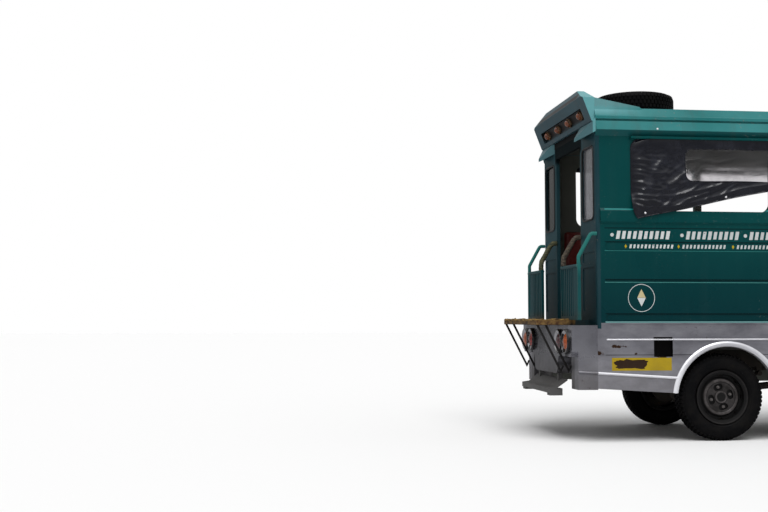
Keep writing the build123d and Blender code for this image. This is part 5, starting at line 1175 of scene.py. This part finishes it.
def raggedLoop(low, high, seed, count=90):
    # outline of a scraped patch with a torn edge
    loop = [Vector((u, v, 0)) for u, v in roundedLoop(low, high, markLook["scrapeCorner"], 4)]
    middle = Vector(((low[0] + high[0]) / 2, (low[1] + high[1]) / 2, 0))
    points = []
    for along in (index / count * len(loop) for index in range(count)):
        point = loop[int(along)].lerp(loop[(int(along) + 1) % len(loop)], along - int(along))
        shift = waver(point.x * 60.0, point.y * 60.0, seed)
        point += (middle - point).normalized() * markLook["torn"] * (shift + 0.3)
        points.append((point.x, point.y))
    return points


def addMarks(side, word):
    look = markLook

    def onWall(outline, face=look["face"]):
        # u runs forward from the rear face, v is the height, w stands out from the wall
        return slab(outline, lambda u, v, w: Vector((rearX + u, side * (face + w), v)), look["thick"])

    white = [onWall([(u + look["dotRadius"] * math.cos(angle), look["dotHeight"] + look["dotRadius"] * math.sin(angle))
                     for angle in circle(28)]) for u in look["dots"]]
    white += [strokeRow(side, look["face"], u, look["dotHeight"], look["strokes"]) for u in look["dots"]]
    white += [strokeRow(side, look["inset"], u, look["lozengeHeight"], look["smallStrokes"]) for u in look["lozenges"]]
    u, v, radius, width = look["ring"]
    wide, tall = look["badge"]
    thin = look["face"] + look["thick"]
    white.append(loft([[(rearX + u + r * math.cos(angle), side * out, v + r * math.sin(angle)) for r, out in (
        (radius, look["face"]), (radius, thin), (radius - width, thin), (radius - width, look["face"]))]
        for angle in circle(64)], looped=True))
    white.append(onWall([(u - wide, v), (u, v - tall), (u + wide, v)]))
    makePiece(f"whiteMarks{word}", white, "markWhite")
    cream = onWall([(u - wide, v + 0.002), (u + wide, v + 0.002), (u, v + tall + 0.002)])
    (wide, tall), v = look["lozengeSize"], look["lozengeHeight"]
    yellow = [onWall([(u - wide, v), (u, v - tall), (u + wide, v), (u, v + tall)], look["inset"])
              for u in look["lozenges"]]
    left, right, low, high = look["patch"]
    yellow.append(onWall([(left, low), (right, low), (right, high), (left, high)]))
    makePiece(f"yellowMarks{word}", yellow, "markYellow")
    makePiece(f"creamMarks{word}", [cream], "markCream")
    torn = onWall(raggedLoop(*look["scrape"], 3.0 * side), look["face"] + look["scrapeOut"])
    makePiece(f"scrapedMark{word}", [torn], "scrapedBrown")


for side, word in bothSides:
    addMarks(side, word)
print("marks made")


# Rubber round the panes, mirror glass and wipers

glazingLook = {
    # low and high corner, corner radius, tube radius
    "rear": ((0.41, 1.735), (0.7, 2.315), 0.045, 0.0075), "screen": ((0.02, 0.065), (0.6597, 0.94), 0.04, 0.0065),
    "mirror": ((0.815, 1.77), (0.945, 1.98), 0.02), "mirrorX": 1.4766, "mirrorThick": 0.0012, "rearOut": 0.0016,
    "screenFoot": (1.4402, 0.0, 1.33), "screenUp": (-0.1094, 0.0, 0.994), "screenOut": (0.994, 0.0, 0.1094),
    "pivot": 0.13, "pivotShape": ((0.0, 0.0), (0.011, 0.0), (0.011, 0.012), (0.007, 0.016), (0.0, 0.016)),
    # arm and blade: radius, then points across from the pivot, up the screen, out of it
    "wiper": ((0.0035, ((0.0, 0.03, 0.012), (0.05, 0.1, 0.026), (0.14, 0.3, 0.02))),
              (0.0045, ((0.02, 0.115, 0.0125), (0.2, 0.52, 0.0125)))),
}


def addGlazing():
    look = glazingLook
    foot, screenUp, screenOut = (Vector(look[key]) for key in ("screenFoot", "screenUp", "screenOut"))
    rear, front, wipers, glass = [], [], [], []
    for side, _ in bothSides:

        def paneLoop(low, high, corner, steps=6):
            span = sorted((side * low[0], side * high[0]))
            return roundedLoop((span[0], low[1]), (span[1], high[1]), corner, steps)

        def onScreen(across, up, out):
            return foot + Vector((0, side * across, 0)) + screenUp * up + screenOut * out

        *pane, radius = look["rear"]
        rear.append(tube([(rearX - look["rearOut"], u, v) for u, v in paneLoop(*pane)], radius, 8, looped=True))
        *pane, radius = look["screen"]
        front.append(tube([onScreen(side * u, v, 0.0) for u, v in paneLoop(*pane)], radius, 8, looped=True))
        wipers.append(spun(look["pivotShape"], onScreen(look["pivot"], 0.03, 0.001), screenOut, 14))
        for radius, path in look["wiper"]:
            wipers.append(tube([onScreen(look["pivot"] + across, up, out) for across, up, out in path], radius))
        glass.append(slab(paneLoop(*look["mirror"], 5), lambda u, v, w: Vector((look["mirrorX"] - w, u, v)),
                          look["mirrorThick"]))
    makePiece("rearPaneSeals", rear, "sealRubber")
    makePiece("screenSeals", front, "sealRubber")
    makePiece("wipers", wipers, "blackPlastic")
    makePiece("mirrorGlass", glass, "mirrorSilver")


addGlazing()
print("glazing made")


# Bound handrails and the ragged edge of the step platform

wrapLook = {
    "path": ((-2.2135, 1.615), (-2.245, 1.615), (-2.27, 1.592), (-2.325, 1.497), (-2.35, 1.452), (-2.355, 1.415),
             (-2.355, 1.378)),
    "across": 0.35, "radius": 0.0205, "step": 0.006, "paints": {"Right": "wrapBrown", "Left": "wrapGreen"},
}
edgeLook = {"half": 0.52, "front": 0.11, "height": 0.946, "radius": 0.0085, "step": 0.011}


def finePath(points, step):
    # straight runs cut into even short pieces
    fine = []
    for a, b in zip(points, points[1:]):
        count = max(1, round((Vector(b) - Vector(a)).length / step))
        fine += [Vector(a).lerp(Vector(b), k / count) for k in range(count)]
    return fine + [Vector(points[-1])]


def wound(index, angle):
    # a spiral of overlapping turns with torn lumps
    turn = (index / 5.0 + angle / math.tau) % 1.0
    lump = waver(index * 0.13, math.cos(angle), math.sin(angle))
    return wrapLook["radius"] * (1.0 + 0.1 * turn + 0.14 * lump)


def edgePart(seed, start, end):
    # flakes of rust and trodden dirt along one edge of the platform
    path = finePath([(*start, edgeLook["height"]), (*end, edgeLook["height"])], edgeLook["step"])
    for index, point in enumerate(path):
        point.z += 0.007 * waver(index * 0.3, seed, 0.0) - 0.001

    def torn(index, angle):
        lump = waver(index * 0.45, math.cos(angle) * 1.4 + seed, math.sin(angle) * 1.4)
        return edgeLook["radius"] * (1.0 + 0.7 * lump + 0.6 * waver(index * 0.09, seed * 3.0, 1.0))
    return tube(path, edgeLook["radius"], 9, wobble=torn)


for side, word in bothSides:
    path = finePath([(x, side * wrapLook["across"], z) for x, z in wrapLook["path"]], wrapLook["step"])
    makePiece(f"railWrap{word}", [tube(path, wrapLook["radius"], 14, wobble=wound)], wrapLook["paints"][word],
              sharp=60.0)
edgeRear, edgeFront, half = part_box("rear_platform")[0].x, rearX - edgeLook["front"], edgeLook["half"]
makePiece("platformEdge", [edgePart(1, (edgeRear, -half), (edgeRear, half)),
                           edgePart(2, (edgeRear, -half), (edgeFront, -half)),
                           edgePart(3, (edgeRear, half), (edgeFront, half))], "rustLoose", sharp=70.0)
print("wraps made")


# Round heads: a stud on each eave, door hinges, bumper and rear panel

headLook = {"radius": 0.006, "height": 0.0035, "stud": (0.491, 0.0315, 2.437), "hinge": (1.418, 0.0035, 0.012),
            "hingeHeights": (0.96, 1.27), "bumper": (-0.4, 0.35, 0.545), "panel": (-0.725, 0.725, -0.385, 0.385),
            "panelHeights": (1.15, 1.68)}


def headRow(start, end, count, turn, size):
    radius, height = headLook["radius"] * size, headLook["height"] * size
    profile = [(0.0, 0.0), (radius, 0.0), (radius * 0.92, height * 0.5), (radius * 0.6, height * 0.88), (0.0, height)]
    return repeatPart(lineRepeat, spun(profile, (0, 0, 0), (1, 0, 0), 8), Count=count, Start=start, End=end,
                      Turn=(0.0, 0.0, turn))


for side, word in bothSides:
    along, out, z = headLook["stud"]
    spot = (rearX + along, side * (halfWidth + out), z)
    makePiece(f"eaveStud{word}", [headRow(spot, spot, 1, math.pi / 2 * side, 1.5)], "cleanWhite")
    x, out, half = headLook["hinge"]
    hinges = [headRow(*((x, side * (halfWidth + out), z + dz) for dz in (-half, half)), 2, math.pi / 2 * side, 0.7)
              for z in headLook["hingeHeights"]]
    makePiece(f"hingeScrews{word}", hinges, "galvanised")
*starts, height = headLook["bumper"]
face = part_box("front_bumper")[1].x - 0.0005
makePiece("bumperBolts", [headRow((face, y, height), (face, y + 0.05, height), 2, 0.0, 1.6) for y in starts],
          "galvanised")
makePiece("panelScrews", [headRow(*((rearX + 0.0003, y, z) for z in headLook["panelHeights"]), 5, math.pi, 0.7)
                          for y in headLook["panel"]], "pillarGrey")
print("heads made")


# Stage, light and camera

stageLook = {"half": 60.0, "floorColour": (0.9, 0.9, 0.9), "floorGloss": (0.3, 0.3, 0.31), "worldLight": 0.45,
             "glossSide": 0.22, "glossTop": 0.9, "sunPower": 2.3, "sunAngle": 50.0, "sunRay": (0.1, 0.42, -0.9)}
cameraLook = {"place": (-4.792, -8.764, 0.96), "turn": 6.58, "tilt": 3.33, "lens": 50.0, "sensor": 36.0}


def addStage():
    mesh = bpy.data.meshes.new("floor")
    size = stageLook["half"]
    mesh.from_pydata([(-size, -size, 0), (size, -size, 0), (size, size, 0), (-size, size, 0)], [], [(0, 1, 2, 3)])
    # the floor is white to look at, and duller in reflections
    look = Finish("studioFloor", Roughness=0.9)
    glossy = Wire(look.tree, addNode(look.tree, "ShaderNodeLightPath").outputs["Is Glossy Ray"])
    mesh.materials.append(look.done(glossy.mix(stageLook["floorColour"], stageLook["floorGloss"]), None))
    linked("studioFloor", mesh)
    world = bpy.data.worlds.new("studioWorld")
    world.use_nodes = True
    bpy.context.scene.world = world
    tree = world.node_tree
    tree.nodes.clear()
    camera, through, gloss = (Wire(tree, addNode(tree, "ShaderNodeLightPath").outputs[key])
                              for key in ("Is Camera Ray", "Is Transmission Ray", "Is Glossy Ray"))
    # reflections see a sky that is bright above and dull near the horizon
    up = Wire(tree, addNode(tree, "ShaderNodeTexCoord").outputs["Generated"]).split()[2]
    sky = up.ramp(0.05, 0.75, stageLook["glossSide"], stageLook["glossTop"])
    strength = camera.calc("MAXIMUM", through).blend(gloss.blend(stageLook["worldLight"], sky), 1.0)
    back = addNode(tree, "ShaderNodeBackground", {"Color": (1.0, 1.0, 1.0, 1.0), "Strength": strength})
    addNode(tree, "ShaderNodeOutputWorld", {"Surface": back.outputs[0]})


def aimed(name, data, direction):
    thing = linked(name, data)
    thing.rotation_euler = Vector(direction).to_track_quat("-Z", "Y").to_euler()
    return thing


def addSun():
    # a very wide sun gives the soft light of an overcast day
    data = bpy.data.lights.new("sunOver", "SUN")
    data.angle, data.energy = math.radians(stageLook["sunAngle"]), stageLook["sunPower"]
    aimed("sunOver", data, stageLook["sunRay"])


def addCamera():
    turn, tilt = math.radians(cameraLook["turn"]), math.radians(cameraLook["tilt"])
    data = bpy.data.cameras.new("photoCamera")
    data.lens, data.sensor_width = cameraLook["lens"], cameraLook["sensor"]
    camera = aimed("photoCamera", data,
                   (math.sin(turn) * math.cos(tilt), math.cos(turn) * math.cos(tilt), math.sin(tilt)))
    camera.location = cameraLook["place"]
    bpy.context.scene.camera = camera


addStage()
addSun()
addCamera()
bpy.context.scene.view_settings.view_transform = "Standard"
print("stage ready")
